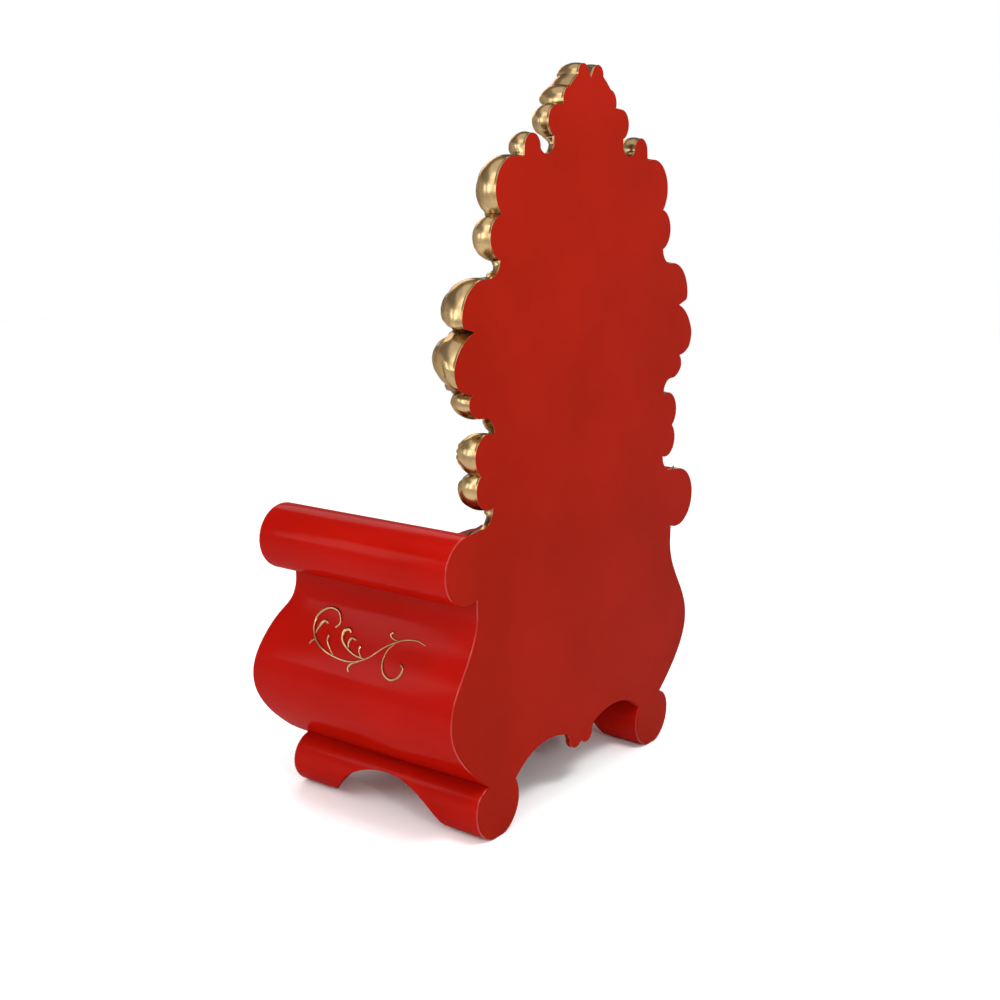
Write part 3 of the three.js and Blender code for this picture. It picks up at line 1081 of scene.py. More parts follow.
@dataclass
class FootRoll:
    """The round foot along one side, cut by an arch that leaves a rear and a front foot."""

    arch_middle: float = 292
    arch_rear: float = 165
    arch_front: float = 168
    arch_height: float = 116
    flare: float = 0.446
    front_low: float = 617
    front_high: float = 595
    top: float = 150
    toe_end: float = 505
    toe_start: float = 432
    toe_rise: float = 62
    heel_start: float = 112
    heel_rise: float = 14
    heel_run: float = 23
    reach: float = 220
    round_end: float = 14
    corner: float = 3.0
    sunk: float = 3.0
    inner_top: float = 293.5
    pitch: float = 2.0
    side_points: int = 34
    under_points: int = 12

    def arch(self, forward: Array) -> Array:
        """Height of the arch at the outer side: an ellipse that runs out to the floor.

        Each half is a quarter ellipse; past its end a short curve falls to the floor as a
        power of the distance that is left.

        Args:
            forward: Distance forward of the rear face, in mm.

        Returns:
            Height at each place, in mm.
        """
        ahead = forward - self.arch_middle
        span = np.where(ahead > 0, self.arch_front, self.arch_rear)
        ellipse = self.arch_height * np.sqrt(np.clip(1 - (ahead / span) ** 2, 0, 1))
        left = np.clip((self.toe_end - forward) / (self.toe_end - self.toe_start), 0, 1)
        toe = np.where(ahead > 0, self.toe_rise * left**1.3, 0)
        rise = np.clip((forward - self.heel_start) / self.heel_run, 0, 1)
        heel = np.where(ahead > 0, 0, self.heel_rise * rise**2)
        return np.maximum(ellipse, np.maximum(toe, heel) * (np.abs(ahead) < self.reach))

    def section(self, forward: Array) -> Array:
        """Outline of the foot at each forward distance, as points across and up.

        The outer side runs from the notch down to the arch or the floor, a straight
        underside crosses to the inner side, and that runs up to the ledge. Both edges of
        the underside are rounded by a short quadratic curve.

        Args:
            forward: Distance forward of the rear face, in mm.

        Returns:
            The outlines, one to a row.
        """
        x, y, r = PROFILE.foot
        pen = Pen(PROFILE.notch[0] - self.sunk, self.top, self.pitch)
        pen.line(*PROFILE.notch)
        PROFILE.draw_outer_foot(pen)
        outer_x, outer_y = pen.points()[::-1].T
        pen = Pen(x - math.sqrt(r * r - y * y), 0, self.pitch)
        PROFILE.draw_inner_foot(pen)
        pen.line(self.inner_top, self.top)
        inner_x, inner_y = pen.points().T
        stretched = self.arch_middle + (forward - self.arch_middle) / np.where(
            forward > self.arch_middle, 1 + self.flare, 1)
        low, low_in = self.arch(forward)[:, None], self.arch(stretched)[:, None]
        fall = 0.5 - 0.5 * np.cos(np.linspace(0, math.pi, self.side_points))[None]
        fall_y = self.top + (low + self.corner - self.top) * fall
        rise_y = self.top + (low_in + self.corner - self.top) * fall[:, ::-1]

        def out_x(up: Array) -> Array:
            """Outer side at a height."""
            return np.interp(up, outer_y, outer_x)

        def in_x(up: Array) -> Array:
            """Inner side at a height."""
            return np.interp(up, inner_y, inner_x)

        def rounded(start: Array, corner: Array, end: Array) -> Array:
            """Three points on a quadratic curve round a corner."""
            t = np.array([[0.25, 0.5, 0.75]])
            return (1 - t) ** 2 * start + 2 * t * (1 - t) * corner + t * t * end

        across = np.linspace(0, 1, self.under_points)[None]
        start, end = out_x(low), in_x(low_in)
        under_x = (start - self.corner) + (end - start + 2 * self.corner) * across
        under_y = low + (low_in - low) * across
        lifted, lifted_in = low + self.corner, low_in + self.corner
        xs = np.hstack([
            out_x(fall_y), rounded(out_x(lifted), start, under_x[:, :1]), under_x,
            rounded(under_x[:, -1:], end, in_x(lifted_in)), in_x(rise_y)])
        ys = np.hstack([
            fall_y, rounded(lifted, low, low), under_y, rounded(low_in, low_in, lifted_in), rise_y])
        return np.stack([xs, ys], axis=-1)

    def add_to(self, solid: Solid, rear: float) -> None:
        """Adds the foot to a solid, from the back board to its rounded front end.

        Args:
            solid: The solid that is added to.
            rear: Forward distance at which it starts.
        """
        end = self.front_high - self.round_end
        stations = np.concatenate([
            np.linspace(rear, 110, 8), np.linspace(113, 160, 24), np.linspace(165, 415, 42),
            np.linspace(420, 515, 32), np.linspace(522, end, 8)])
        rings = self.section(stations)
        depths = np.broadcast_to(stations[:, None], rings.shape[:2])
        last = rings[-1]
        centre = np.array(PROFILE.foot[:2])
        front = self.front_low + (self.front_high - self.front_low) * last[:, 1] / PROFILE.notch[1]
        turns = np.linspace(0, math.pi / 2, 8)
        inset = self.round_end * (1 - np.cos(turns))[:, None, None] / PROFILE.foot[2]
        bent = centre + (last - centre)[None] * (1 - inset)
        reach = (front - self.round_end)[None] + self.round_end * np.sin(turns)[:, None]
        rings = np.concatenate([rings, bent])
        depths = np.concatenate([depths, reach])
        solid.add_rings(place(rings[..., 0], rings[..., 1], depths))


@dataclass
class Side:
    """One side of the body: arm roll and bombe wall, on a foot roll opened by an arch."""

    hand: Hand
    rear: float = 6.0
    edge_round: float = 10.0
    crease: tuple[float, float] = (440, 611)
    pitch: float = 4.0

    def make(self, lacquer: Material) -> Piece:
        """Builds the side, its front edge soft but for the creases and the lower inner face.

        Args:
            lacquer: Finish of red lacquer.

        Returns:
            The finished piece.
        """
        loop = PROFILE.side(self.pitch)
        x, y = loop.T
        outer = (x > PROFILE.inner + 1) & (y > PROFILE.notch[1] + 1)
        soft = np.where(outer, smooth_step(PROFILE.notch[1], PROFILE.notch[1] + 50, y), 0)
        soft = np.maximum(soft, np.where(x < PROFILE.inner + 1, smooth_step(590, 660, y) * 0.9, 0))
        soft *= 0.25 + 0.75 * smooth_step(4, 30, np.hypot(x - self.crease[0], y - self.crease[1]))
        body = Prism(loop, level(self.rear), PROFILE.front, 0.0, self.edge_round * soft, 10.0, 10)
        solid = Solid()
        body.add_to(solid)
        FootRoll().add_to(solid, self.rear)
        solid.put_on(self.hand)
        name = self.hand.name.lower()
        piece = solid.build(f"side_shell_{name}", [lacquer], sharp=45)
        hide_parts(f"side_{name}")
        return piece


# ----------------------------------------------------------------- seat base


@dataclass
class SeatBase:
    """The seat deck and the bombe apron below it, moulded as one."""

    top: float = 440
    apron_thick: float = 25
    deck_thick: float = 22
    deck_rear: float = 6.5
    deck_front: float = 612
    edge_round: float = 3.5
    pitch: float = 5.0
    deck_pitch: float = 40.0

    def make(self, lacquer: Material) -> Piece:
        """Builds the apron, with the deck behind it.

        Args:
            lacquer: Finish of red lacquer.

        Returns:
            The finished piece.
        """
        half = PROFILE.inner - GAP
        loop = PROFILE.between_feet(self.top, half, self.pitch)
        low = smooth_step(250, 170, loop[:, 1])
        apron = Prism(loop, lambda x, y: PROFILE.front(x, y) - self.apron_thick, PROFILE.front,
                      0.0, self.edge_round * low, 10.0, 2)
        under = self.top - self.deck_thick
        pen = Pen(-half, under, self.deck_pitch)
        for corner in ((-half, self.top), (half, self.top), (half, under), (-half, under)):
            pen.line(*corner)
        deck = Prism(pen.points()[:-1], level(self.deck_rear), level(self.deck_front), walls=2)
        solid = Solid()
        apron.add_to(solid)
        deck.add_to(solid, flat_front=True)
        piece = solid.build("seat_apron", [lacquer])
        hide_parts("seat_base")
        return piece


# ------------------------------------------------------------- gilt surround


@dataclass(frozen=True)
class Lobe:
    """One carved lobe of the surround, given on the sitter's left.

    Attributes:
        x: Its centre, across.
        y: Its centre, up.
        r: Its radius.
        depth: How far forward its crown stands.
        carving: What is cut into its face.
        turn: Direction in which the carving starts.
        fold: Depth of the crease round the lower half of its edge.
    """

    x: float
    y: float
    r: float
    depth: float
    carving: Carving
    turn: float = 0.0
    fold: float = 0.0


LOBES = [
    Lobe(31, 1776, 22, 74, Carving.BUD),
    Lobe(58, 1750, 28, 78, Carving.BUD),
    Lobe(84, 1729, 30, 82, Carving.BUD),
    Lobe(106, 1702, 30, 72, Carving.BUD),
    Lobe(144, 1668, 35, 60, Carving.VOLUTE, 2.4),
    Lobe(234, 1613, 29, 59, Carving.BUD),
    Lobe(302, 1516, 72, 76, Carving.VOLUTE, 2.6),
    Lobe(370, 1411, 45, 65, Carving.SHELL, 2.4),
    Lobe(425, 1262, 66, 82, Carving.VOLUTE, 2.8, fold=2.5),
    Lobe(442, 1158, 66, 93, Carving.VOLUTE, 3.3, fold=4.5),
    Lobe(466, 1086, 25, 68, Carving.BUD),
    Lobe(432, 1057, 34, 69, Carving.BUD),
    Lobe(412, 939, 41, 71, Carving.SHELL, 3.1),
    Lobe(407, 853, 40, 70, Carving.VOLUTE, 3.4),
]


@dataclass(frozen=True)
class Leaf:
    """A carved leaf that lies on the surround, given on the sitter's left."""

    root: tuple[float, float]
    tip: tuple[float, float]
    width: float
    rise: float


LEAVES = [
    Leaf((88, 1512), (168, 1580), 24, 22),
    Leaf((262, 1382), (346, 1462), 18, 20),
    Leaf((292, 1300), (384, 1336), 22, 22),
    Leaf((330, 990), (404, 1024), 20, 20),
    Leaf((322, 892), (420, 894), 16, 16),
    Leaf((326, 812), (398, 800), 16, 16),
]


@dataclass
class Surround:
    """The carved and gilded frame round the back cushion.

    Attributes:
        rear: Forward distance of its rear face.
        base: Forward distance of its plain face.
        moulding: Width of the moulding round the opening.
        insets: How far in from the outline each ring of the edge lies.
        swell: How far the carved edge swells out of the outline.
        arm_thinning: Share of the depth that is lost where it passes behind the arm.
        cleft: Middle and radius of the cleft at the top of the crest, darkened with painted shade and
            grime.
        pearl: Distance between two pearls.
        bead: Rows of the outer bead, as distance from the opening and depth.
        inner_lip: Rows of the lip, the same way.
        probe: How far in from the outline its full depth is read.
        face_edge: A way in from the edge at which rounding has ended.
        rim_fall: Width over which the carving falls to the moulding.
    """

    rear: float = 6.0
    base: float = 20.0
    moulding: float = 26.0
    pitch: float = 4.0
    spacing: float = 4.2
    insets: tuple[float, ...] = (0.1, 0.25, 0.45, 0.7, 1.0, 1.4, 1.9, 2.6, 3.5, 4.6, 6.2, 8.2)
    swell: float = 4.5
    arm_thinning: float = 0.55
    cleft: tuple[float, float, float] = (0, 1780, 30)
    pearl: float = 21.0
    opening_pitch: float = 2.4
    probe: float = 12.0
    face_edge: float = 60.0
    rim_fall: float = 9.0
    rear_spacing: float = 400.0
    fan_root: float = 1604.0
    husk_x: float = 357.0
    husks: tuple[tuple[float, float], ...] = ((716, 22), (674, 19), (636, 17), (602, 15), (572, 13))
    bead: tuple[tuple[float, float], ...] = (
        (25.0, 20.5), (24.0, 23.0), (22.2, 24.6), (20.0, 25.2), (17.8, 24.6), (16.2, 22.6),
        (15.4, 20.6))
    inner_lip: tuple[tuple[float, float], ...] = (
        (4.6, 20.8), (4.3, 28.0), (3.9, 32.0), (2.9, 34.6), (1.6, 35.8), (0.6, 35.4),
        (0.1, 34.0), (0.0, 24.0))

    def outline(self) -> Array:
        """Its outer loop: the lobes, then in along the arm and down to the seat deck.

        Returns:
            Points of the outline.
        """
        x, y, r = PROFILE.roll
        pen = Pen(0, PROFILE.cleft_y, self.pitch)
        PROFILE.draw_lobes(pen)
        pen.arc(x, y, r + 0.8, 1.6, math.pi)
        pen.line(PROFILE.inner - 0.8, 441)
        pen.line(0, 441)
        return mirrored(pen.points())

    def lobe_height(self, points: Array) -> tuple[Array, Array]:
        """Depth of the lobes at each point before their edge is rounded off.

        Each lobe is a dome that is full to half its radius and falls to the base at one
        and a quarter; the highest lobe counts. Its carving adds a spiral groove, flutes
        that fan from its inner side, or a plain crown. The second result is 1 on a lobe.

        Args:
            points: Points, one to a row.

        Returns:
            The depths in mm, and a share from 0 to 1 for how far each point is on a lobe.
        """
        x, y = np.abs(points[:, 0]), points[:, 1]
        height = np.full(len(points), self.base)
        cover = np.zeros(len(points))
        for lobe in LOBES:
            dx, dy = x - lobe.x, y - lobe.y
            rho = np.hypot(dx, dy) / lobe.r
            theta = np.arctan2(dy, dx)
            dome = 1 - smooth_step(0.5, 1.5, rho) ** 1.3
            body = (lobe.depth - self.base) * dome
            if lobe.carving is Carving.VOLUTE:
                body -= self.volute(rho, theta - lobe.turn) * lobe.r * 0.16 * (rho < 1.3)
            elif lobe.carving is Carving.SHELL:
                ribs = np.abs(np.cos(4.5 * (theta - lobe.turn)))
                body -= (1 - ribs) * lobe.r * 0.13 * smooth_step(0.15, 0.5, rho) * dome
            height = np.maximum(height, self.base + body)
            cover = np.maximum(cover, dome)
        return height, cover

    @staticmethod
    def crease_depth(loop: Array) -> Array:
        """Depth of the crease at each outline point, full below the middle of a folded lobe.

        Args:
            loop: Points of the closed outline, in mm.

        Returns:
            One depth for each point, in mm.
        """
        x, y = np.abs(loop[:, 0]), loop[:, 1]
        depth = np.zeros(len(loop))
        for lobe in LOBES:
            near = np.hypot(x - lobe.x, y - lobe.y) < 1.3 * lobe.r
            below = smooth_step(0.3, -0.3, (y - lobe.y) / lobe.r)
            depth = np.maximum(depth, lobe.fold * near * below)
        return depth

    @staticmethod
    def volute(rho: Array, theta: Array) -> Array:
        """Depth, from 0 to 1, of a groove along a spiral that tightens to the centre.

        The spiral's radius falls by a fixed share each turn, so the groove is where the
        logarithm of the radius, in turns, less the angle, is near a whole number.

        Args:
            rho: Distance from the spiral's centre, as a share.
            theta: Angle round the centre.

        Returns:
            The depth of each point.
        """
        turns = np.log(np.maximum(rho, 0.05) / 1.05) / math.log(0.52)
        phase = turns - theta / (2 * math.pi)
        off = np.abs(phase - np.round(phase))
        groove = np.exp(-((off / 0.13) ** 2))
        return groove * smooth_step(0.16, 0.3, rho) * (1 - smooth_step(0.8, 1.1, rho))

    def leaf_height(self, points: Array) -> Array:
        """Height that the leaves add: a rounded blade with a groove along its middle.

        Args:
            points: Points, one to a row.

        Returns:
            One height for each point, in mm.
        """
        x, y = np.abs(points[:, 0]), points[:, 1]
        added = np.zeros(len(points))
        for leaf in LEAVES:
            root, tip = np.array(leaf.root, float), np.array(leaf.tip, float)
            axis = tip - root
            length = float(np.linalg.norm(axis))
            axis /= length
            along = ((x - root[0]) * axis[0] + (y - root[1]) * axis[1]) / length
            across = (x - root[0]) * -axis[1] + (y - root[1]) * axis[0]
            inner = np.clip(along, 0, 1)
            half = leaf.width * np.sin(math.pi * inner**0.8) ** 0.8 + 0.01
            side = across / half
            blade = np.sqrt(np.clip(1 - side * side, 0, 1)) * np.sin(math.pi * inner) ** 0.5
            veins = 0.1 * np.cos(2 * math.pi * (6 * along - 1.2 * np.abs(side)))
            rib = 0.35 * np.exp(-((across / 2.2) ** 2))
            added = np.maximum(added, leaf.rise * blade * (1 + veins - rib))
        return added

    def fan_height(self, points: Array) -> Array:
        """Height of the palmette under the crest: ribs that fan up from above the opening.

        Args:
            points: Points, one to a row.

        Returns:
            One height for each point, in mm.
        """
        dx, dy = points[:, 0], points[:, 1] - self.fan_root
        r, theta = np.hypot(dx, dy), np.arctan2(dx, dy)
        reach = 118 - 26 * np.abs(theta)
        body = smooth_step(6, 34, r) * (1 - smooth_step(reach - 26, reach, r))
        body *= 1 - smooth_step(1.0, 1.25, np.abs(theta))
        ribs = 0.62 + 0.38 * np.abs(np.cos(theta * 5.5))
        return 30 * body * ribs

    def husk_height(self, points: Array) -> Array:
        """Height of the drop of husks on each leg, which get smaller on the way down.

        Args:
            points: Points, one to a row.

        Returns:
            One height for each point, in mm.
        """
        x, y = np.abs(points[:, 0]) - self.husk_x, points[:, 1]
        added = np.zeros(len(points))
        for level_y, size in self.husks:
            side = x / (size * 0.62)
            tall = (y - level_y) / size
            blade = np.sqrt(np.clip(1 - side * side - tall * tall, 0, 1))
            added = np.maximum(added, 15 * blade * (1 - 0.35 * np.exp(-((x / 2.0) ** 2))))
        return added

    def height(self, points: Array, edge: Array) -> Array:
        """Forward distance of the carved face at points a given way in from the edge.

        The face is the lobes, leaves, palmette and husks together. Near the edge it falls
        to the rear as a quarter of a rounded square, over a way in that grows with depth.

        Args:
            points: Points, one to a row.
            edge: Way in from the edge, in mm.

        Returns:
            One forward distance for each point, in mm.
        """
        lobes, _ = self.lobe_height(points)
        face = np.maximum(lobes, self.base + self.leaf_height(points))
        face = np.maximum(face, self.base + self.fan_height(points))
        face = np.maximum(face, self.base + self.husk_height(points))
        body = face - self.rear
        x, y = np.abs(points[:, 0]), points[:, 1]
        by_arm = smooth_step(375, 425, x) * (1 - smooth_step(772, 800, y))
        body = body * (1 - self.arm_thinning * by_arm)
        over = np.clip(edge / np.clip(0.5 * body, 3, 26), 0, 1)
        return self.rear + body * (1 - (1 - over) ** 2.4) ** (1 / 2.4)

    def edge_rings(self, loop: Array) -> tuple[Array, Array]:
        """Rings of points from the outline in over the rounded edge, and their depths.

        Carved edges swell out by the sine of the share of the depth that is reached, and
        folded lobes have a crease, a bell curve of that share.

        Args:
            loop: Points of the closed outline, in mm.

        Returns:
            The rings, and the depth of each of their points.
        """
        normal = outward(loop)
        _, on_lobe = self.lobe_height(loop)
        carved = smooth_step(766, 790, loop[:, 1]) * smooth_step(0.05, 0.5, on_lobe)
        whole = np.full(len(loop), self.face_edge)
        full = self.height(loop - normal * self.probe, whole) - self.rear
        rings, depths = [loop], [np.full(len(loop), self.rear)]
        for inset in self.insets:
            ring = loop - normal * inset
            depth = self.height(ring, np.full(len(loop), inset))
            share = np.clip((depth - self.rear) / (full + 1e-6), 0, 1)
            crease = self.crease_depth(loop) * np.exp(-(((share - 0.62) / 0.1) ** 2))
            out = self.swell * carved * np.sin(math.pi * share) - crease
            rings.append(ring + normal * out[:, None])
            depths.append(depth)
        return np.array(rings), np.array(depths)

    def make(self, gilt: Material) -> Piece:
        """Builds the surround as one closed shell with a carved front.

        Args:
            gilt: Finish of gold leaf.

        Returns:
            The finished piece.
        """
        loop = self.outline()
        half = loop[: len(loop) // 2 + 2]
        opening = PROFILE.opening(self.opening_pitch)
        open_normal = outward(opening)
        rim = opening + open_normal * self.moulding
        solid = Solid()
        rings, depths = self.edge_rings(loop)
        first = solid.add_points(place(rings[..., 0], rings[..., 1], depths))
        solid.add_faces(grid_faces(len(rings), len(loop), first=first))
        last = first + (len(rings) - 1) * len(loop)
        # carved face between the last edge ring and the moulding
        flat, triangles = fill([loop - outward(loop) * self.insets[-1], rim], self.spacing)
        extra = flat[len(loop) + len(rim):]
        edge = distance_to(np.stack([np.abs(extra[:, 0]), extra[:, 1]], axis=1), half)
        depth = self.height(extra, edge)
        near_rim = smooth_step(0, self.rim_fall, distance_to(extra, np.concatenate([rim, rim[:1]])))
        depth = self.base + (depth - self.base) * np.where(depth > self.base, near_rim, 1)
        rim_first = solid.add_points(place(rim[:, 0], rim[:, 1], np.full(len(rim), self.base)))
        more = solid.add_points(place(extra[:, 0], extra[:, 1], depth))
        names = np.concatenate([
            np.arange(start, start + count) for start, count in
            ((last, len(loop)), (rim_first, len(rim)), (more, len(extra)))])
        solid.add_faces(names[triangles])
        inner_first = self.add_moulding(solid, opening, open_normal, rim_first)
        self.add_back(solid, loop, first, opening, inner_first)
        piece = solid.build("gilt_carving", [gilt], sharp=55)
        # the cleft at the top of the crest is marked fully hollow, so the gilt darkens it with
        # painted shade and grime
        mark_hollows(piece, cleft=self.cleft)
        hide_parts("gilt_surround")
        return piece

    def add_moulding(self, solid: Solid, opening: Array, normal: Array, rim_first: int) -> int:
        """Adds the moulding round the opening: a bead, a row of pearls and an inner lip.

        Pearls are half ellipsoids a fixed way apart along the outline.

        Args:
            solid: The solid that is added to.
            opening: Outline of the opening.
            normal: Outward normals of the opening.
            rim_first: Number of the face's first point at the rim.

        Returns:
            The number of the first point of its last ring, on the rear plane.
        """
        around = np.linalg.norm(np.diff(opening, axis=0, append=opening[:1]), axis=1)
        along = np.concatenate([[0], np.cumsum(around)[:-1]])
        total = around.sum()
        pitch = total / round(total / self.pearl)
        phase = (along / pitch) % 1 * 2 - 1
        rows = list(self.bead)
        for offset in np.linspace(14.8, 5.2, 9):
            side = (offset - 10) / 4.8
            pearl = np.sqrt(np.clip(1 - side * side - (phase * 1.04) ** 2, 0, 1))
            rows.append((offset, 20.5 + 8.5 * pearl))
        rows += [*self.inner_lip, (0.0, self.rear)]
        rings = [(opening + normal * offset).T for offset, _ in rows]
        points = np.stack([place(x, y, depth) for (x, y), (_, depth) in zip(rings, rows)])
        first = solid.add_points(points)
        count = len(opening)
        joint, top = np.arange(rim_first, rim_first + count), np.arange(first, first + count)
        after = np.roll(joint, -1)
        solid.add_faces(np.stack([joint, after, np.roll(top, -1), top], axis=1))
        solid.add_faces(grid_faces(len(rows), count, first=first))
        return first + (len(rows) - 1) * count

    def add_back(self, solid: Solid, loop: Array, loop_first: int, opening: Array,
                 inner_first: int) -> None:
        """Closes the shell with a flat rear face between its outline and the opening.

        Args:
            solid: The solid that is added to.
            loop: Points of the closed outline, in mm.
            loop_first: Number of the outline's first point.
            opening: Outline of the opening.
            inner_first: Number of the lip's last ring's first point.
        """
        _, triangles = fill([loop, opening], self.rear_spacing)
        names = np.concatenate([
            np.arange(loop_first, loop_first + len(loop)),
            np.arange(inner_first, inner_first + len(opening))])
        solid.add_faces(names[triangles][:, ::-1])


def mark_hollows(piece: Piece, rounds: int = 12, reach: float = 2.2,
                 cleft: tuple[float, float, float] = (0, 0, 1)) -> None:
    """Marks where a carving is hollow with an attribute from 0, on crowns, to 1.

    The mesh is smoothed many times over by averaging neighbours; where the smooth surface
    stands in front of the real one, along its normal, the real one is hollow there.

    Args:
        piece: The carved piece.
        rounds: How many times neighbours are averaged.
        reach: Depth of hollow, in mm, that counts as full.
        cleft: A cleft that is marked hollow all through, for painted shade and grime: its middle
            across and up, and its radius, in mm.
    """
    mesh = piece.data
    count = len(mesh.vertices)
    points = np.empty(count * 3)
    mesh.vertices.foreach_get("co", points)
    points = points.reshape(-1, 3)
    normals = np.empty(count * 3)
    mesh.vertices.foreach_get("normal", normals)
    edges = np.empty(len(mesh.edges) * 2, int)
    mesh.edges.foreach_get("vertices", edges)
    a, b = edges.reshape(-1, 2).T
    degree = np.bincount(np.concatenate([a, b]), minlength=count)[:, None]
    smooth = points.copy()
    for _ in range(rounds):
        total = np.zeros_like(smooth)
        for axis in range(3):
            total[:, axis] = (np.bincount(a, smooth[b, axis], count)
                              + np.bincount(b, smooth[a, axis], count))
        smooth = 0.5 * smooth + 0.5 * total / np.maximum(degree, 1)
    lift = ((smooth - points) * normals.reshape(-1, 3)).sum(axis=1) / MM
    hollow = np.clip(lift / reach, 0, 1)
    # painted shade and grime: points near the cleft count as fully hollow
    away = np.hypot(points[:, 0] / MM - cleft[0], points[:, 2] / MM - cleft[1])
    hollow = np.maximum(hollow, smooth_step(cleft[2], 0.6 * cleft[2], away))
    attribute = mesh.attributes.new("hollow", "FLOAT", "POINT")
    attribute.data.foreach_set("value", hollow)


# ------------------------------------------------------------------ scrolls

@dataclass(frozen=True)
class Stroke:
    """One stroke of the side scroll.

    Attributes:
        widths: Its width in mm at even steps along it.
        knots: Points that it passes through, forward and up, in mm.
    """

    widths: tuple[float, ...]
    knots: tuple[tuple[float, float], ...]


STROKES = [
    Stroke((6.5, 7.5, 8.0, 7.0, 6.5, 5.0, 4.6, 4.4, 4.4, 4.6, 4.6, 3.0),
           ((414, 475), (402, 490), (419, 512), (450, 514), (478, 494), (478, 466), (456, 441),
            (418, 424), (369, 416), (325, 417), (285, 432), (246, 462), (205, 482), (165, 489),
            (134, 484))),
    Stroke((3.0, 5.0, 6.5, 6.8, 6.5, 7.0, 6.5),
           ((222, 474), (236, 455), (238, 432), (225, 411), (200, 401), (178, 411), (173, 427),
            (186, 437))),
    Stroke((3.5, 5.5), ((454, 440), (466, 441), (475, 430))),
    Stroke((2.6, 5.0, 10.0, 8.5, 5.0), ((468, 452), (464, 468), (452, 484), (437, 481))),
    Stroke((3.0, 4.5, 7.0, 8.0), ((388, 419), (404, 430), (421, 445), (424, 460))),
    Stroke((3.4, 5.0, 6.5, 8.5, 10.5, 8.0),
           ((292, 428), (325, 431), (355, 441), (378, 456), (381, 473), (368, 479), (358, 473))),
    Stroke((3.0, 8.0, 8.0, 5.0), ((350, 439), (356, 453), (350, 463), (337, 461))),
    Stroke((3.0, 4.5, 7.5), ((300, 426), (316, 440), (319, 454))),
    Stroke((3.5, 6.5, 6.5), ((308, 420), (326, 413), (332, 402), (326, 394))),
    Stroke((3.0, 4.5, 8.0), ((212, 479), (232, 482), (241, 489), (234, 496))),
]


def spline(knots: Array, pitch: float) -> Array:
    """Points about one pitch apart on the Catmull-Rom curve through some knots.

    Args:
        knots: Points that the curve passes through.
        pitch: Distance between two points, in mm.

    Returns:
        Points of the curve.
    """
    ends = np.concatenate([[2 * knots[0] - knots[1]], knots, [2 * knots[-1] - knots[-2]]])
    runs = []
    for i in range(len(knots) - 1):
        a, b, c, d = ends[i : i + 4]
        count = max(2, math.ceil(np.linalg.norm(c - b) / pitch))
        t = np.linspace(0, 1, count, endpoint=False)[:, None]
        runs.append(0.5 * (2 * b + (c - a) * t + (2 * a - 5 * b + 4 * c - d) * t**2
                           + (3 * b - a - 3 * c + d) * t**3))
    return np.concatenate(runs + [knots[-1:]])


@dataclass
class SideScroll:
    """The raised gilt scroll on a bombe side: rounded ribbons that swell between fine ends."""

    hand: Hand
    rise: float = 1.25
    sink: float = 0.6
    pitch: float = 1.6
    facets: int = 10

    def make(self, gilt: Material) -> Piece:
        """Builds the scroll.

        Args:
            gilt: Finish of gold leaf.

        Returns:
            The finished piece.
        """
        solid = Solid()
        for stroke in STROKES:
            self.add_ribbon(solid, spline(np.array(stroke.knots, float), self.pitch), stroke.widths)
        solid.put_on(self.hand)
        name = self.hand.name.lower()
        piece = solid.build(f"scroll_relief_{name}", [gilt], sharp=60)
        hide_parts(f"side_scroll_{name}")
        return piece

    def add_ribbon(self, solid: Solid, path: Array, widths: Sequence[float]) -> None:
        """Adds one ribbon along a path of forward and up distances on the bombe side.

        Its section is half an ellipse that stands on the side's surface along the surface's
        own normal. The width runs between the given ones and is a half circle at each end.

        Args:
            solid: The solid that is added to.
            path: Points along the path.
            widths: Width at each knot.
        """
        steps = np.linalg.norm(np.diff(path, axis=0), axis=1)
        along = np.concatenate([[0], np.cumsum(steps)])
        half = np.interp(along / along[-1], np.linspace(0, 1, len(widths)), widths) / 2
        left = np.clip(np.minimum(along, along[-1] - along) / half, 0, 1)
        half *= np.sqrt(np.clip(1 - (1 - left) ** 2, 0.04, 1))
        tangent = np.gradient(path, axis=0)
        tangent /= np.linalg.norm(tangent, axis=1, keepdims=True)
        turn = np.linspace(0, math.pi, self.facets)
        off = np.cos(turn)[None] * half[:, None]
        lift = np.sin(turn)[None] * (self.rise * half)[:, None]
        forward = path[:, :1] + tangent[:, 1:] * off
        up = path[:, 1:] - tangent[:, :1] * off
        x = PROFILE.side_x(up)
        slope = (PROFILE.side_x(up + 1) - PROFILE.side_x(up - 1)) / 2
        scale = 1 / np.sqrt(1 + slope**2)
        lift = lift - self.sink
        solid.add_rings(place(x + lift * scale, up - lift * slope * scale, forward))


# ----------------------------------------------------------------- rosettes


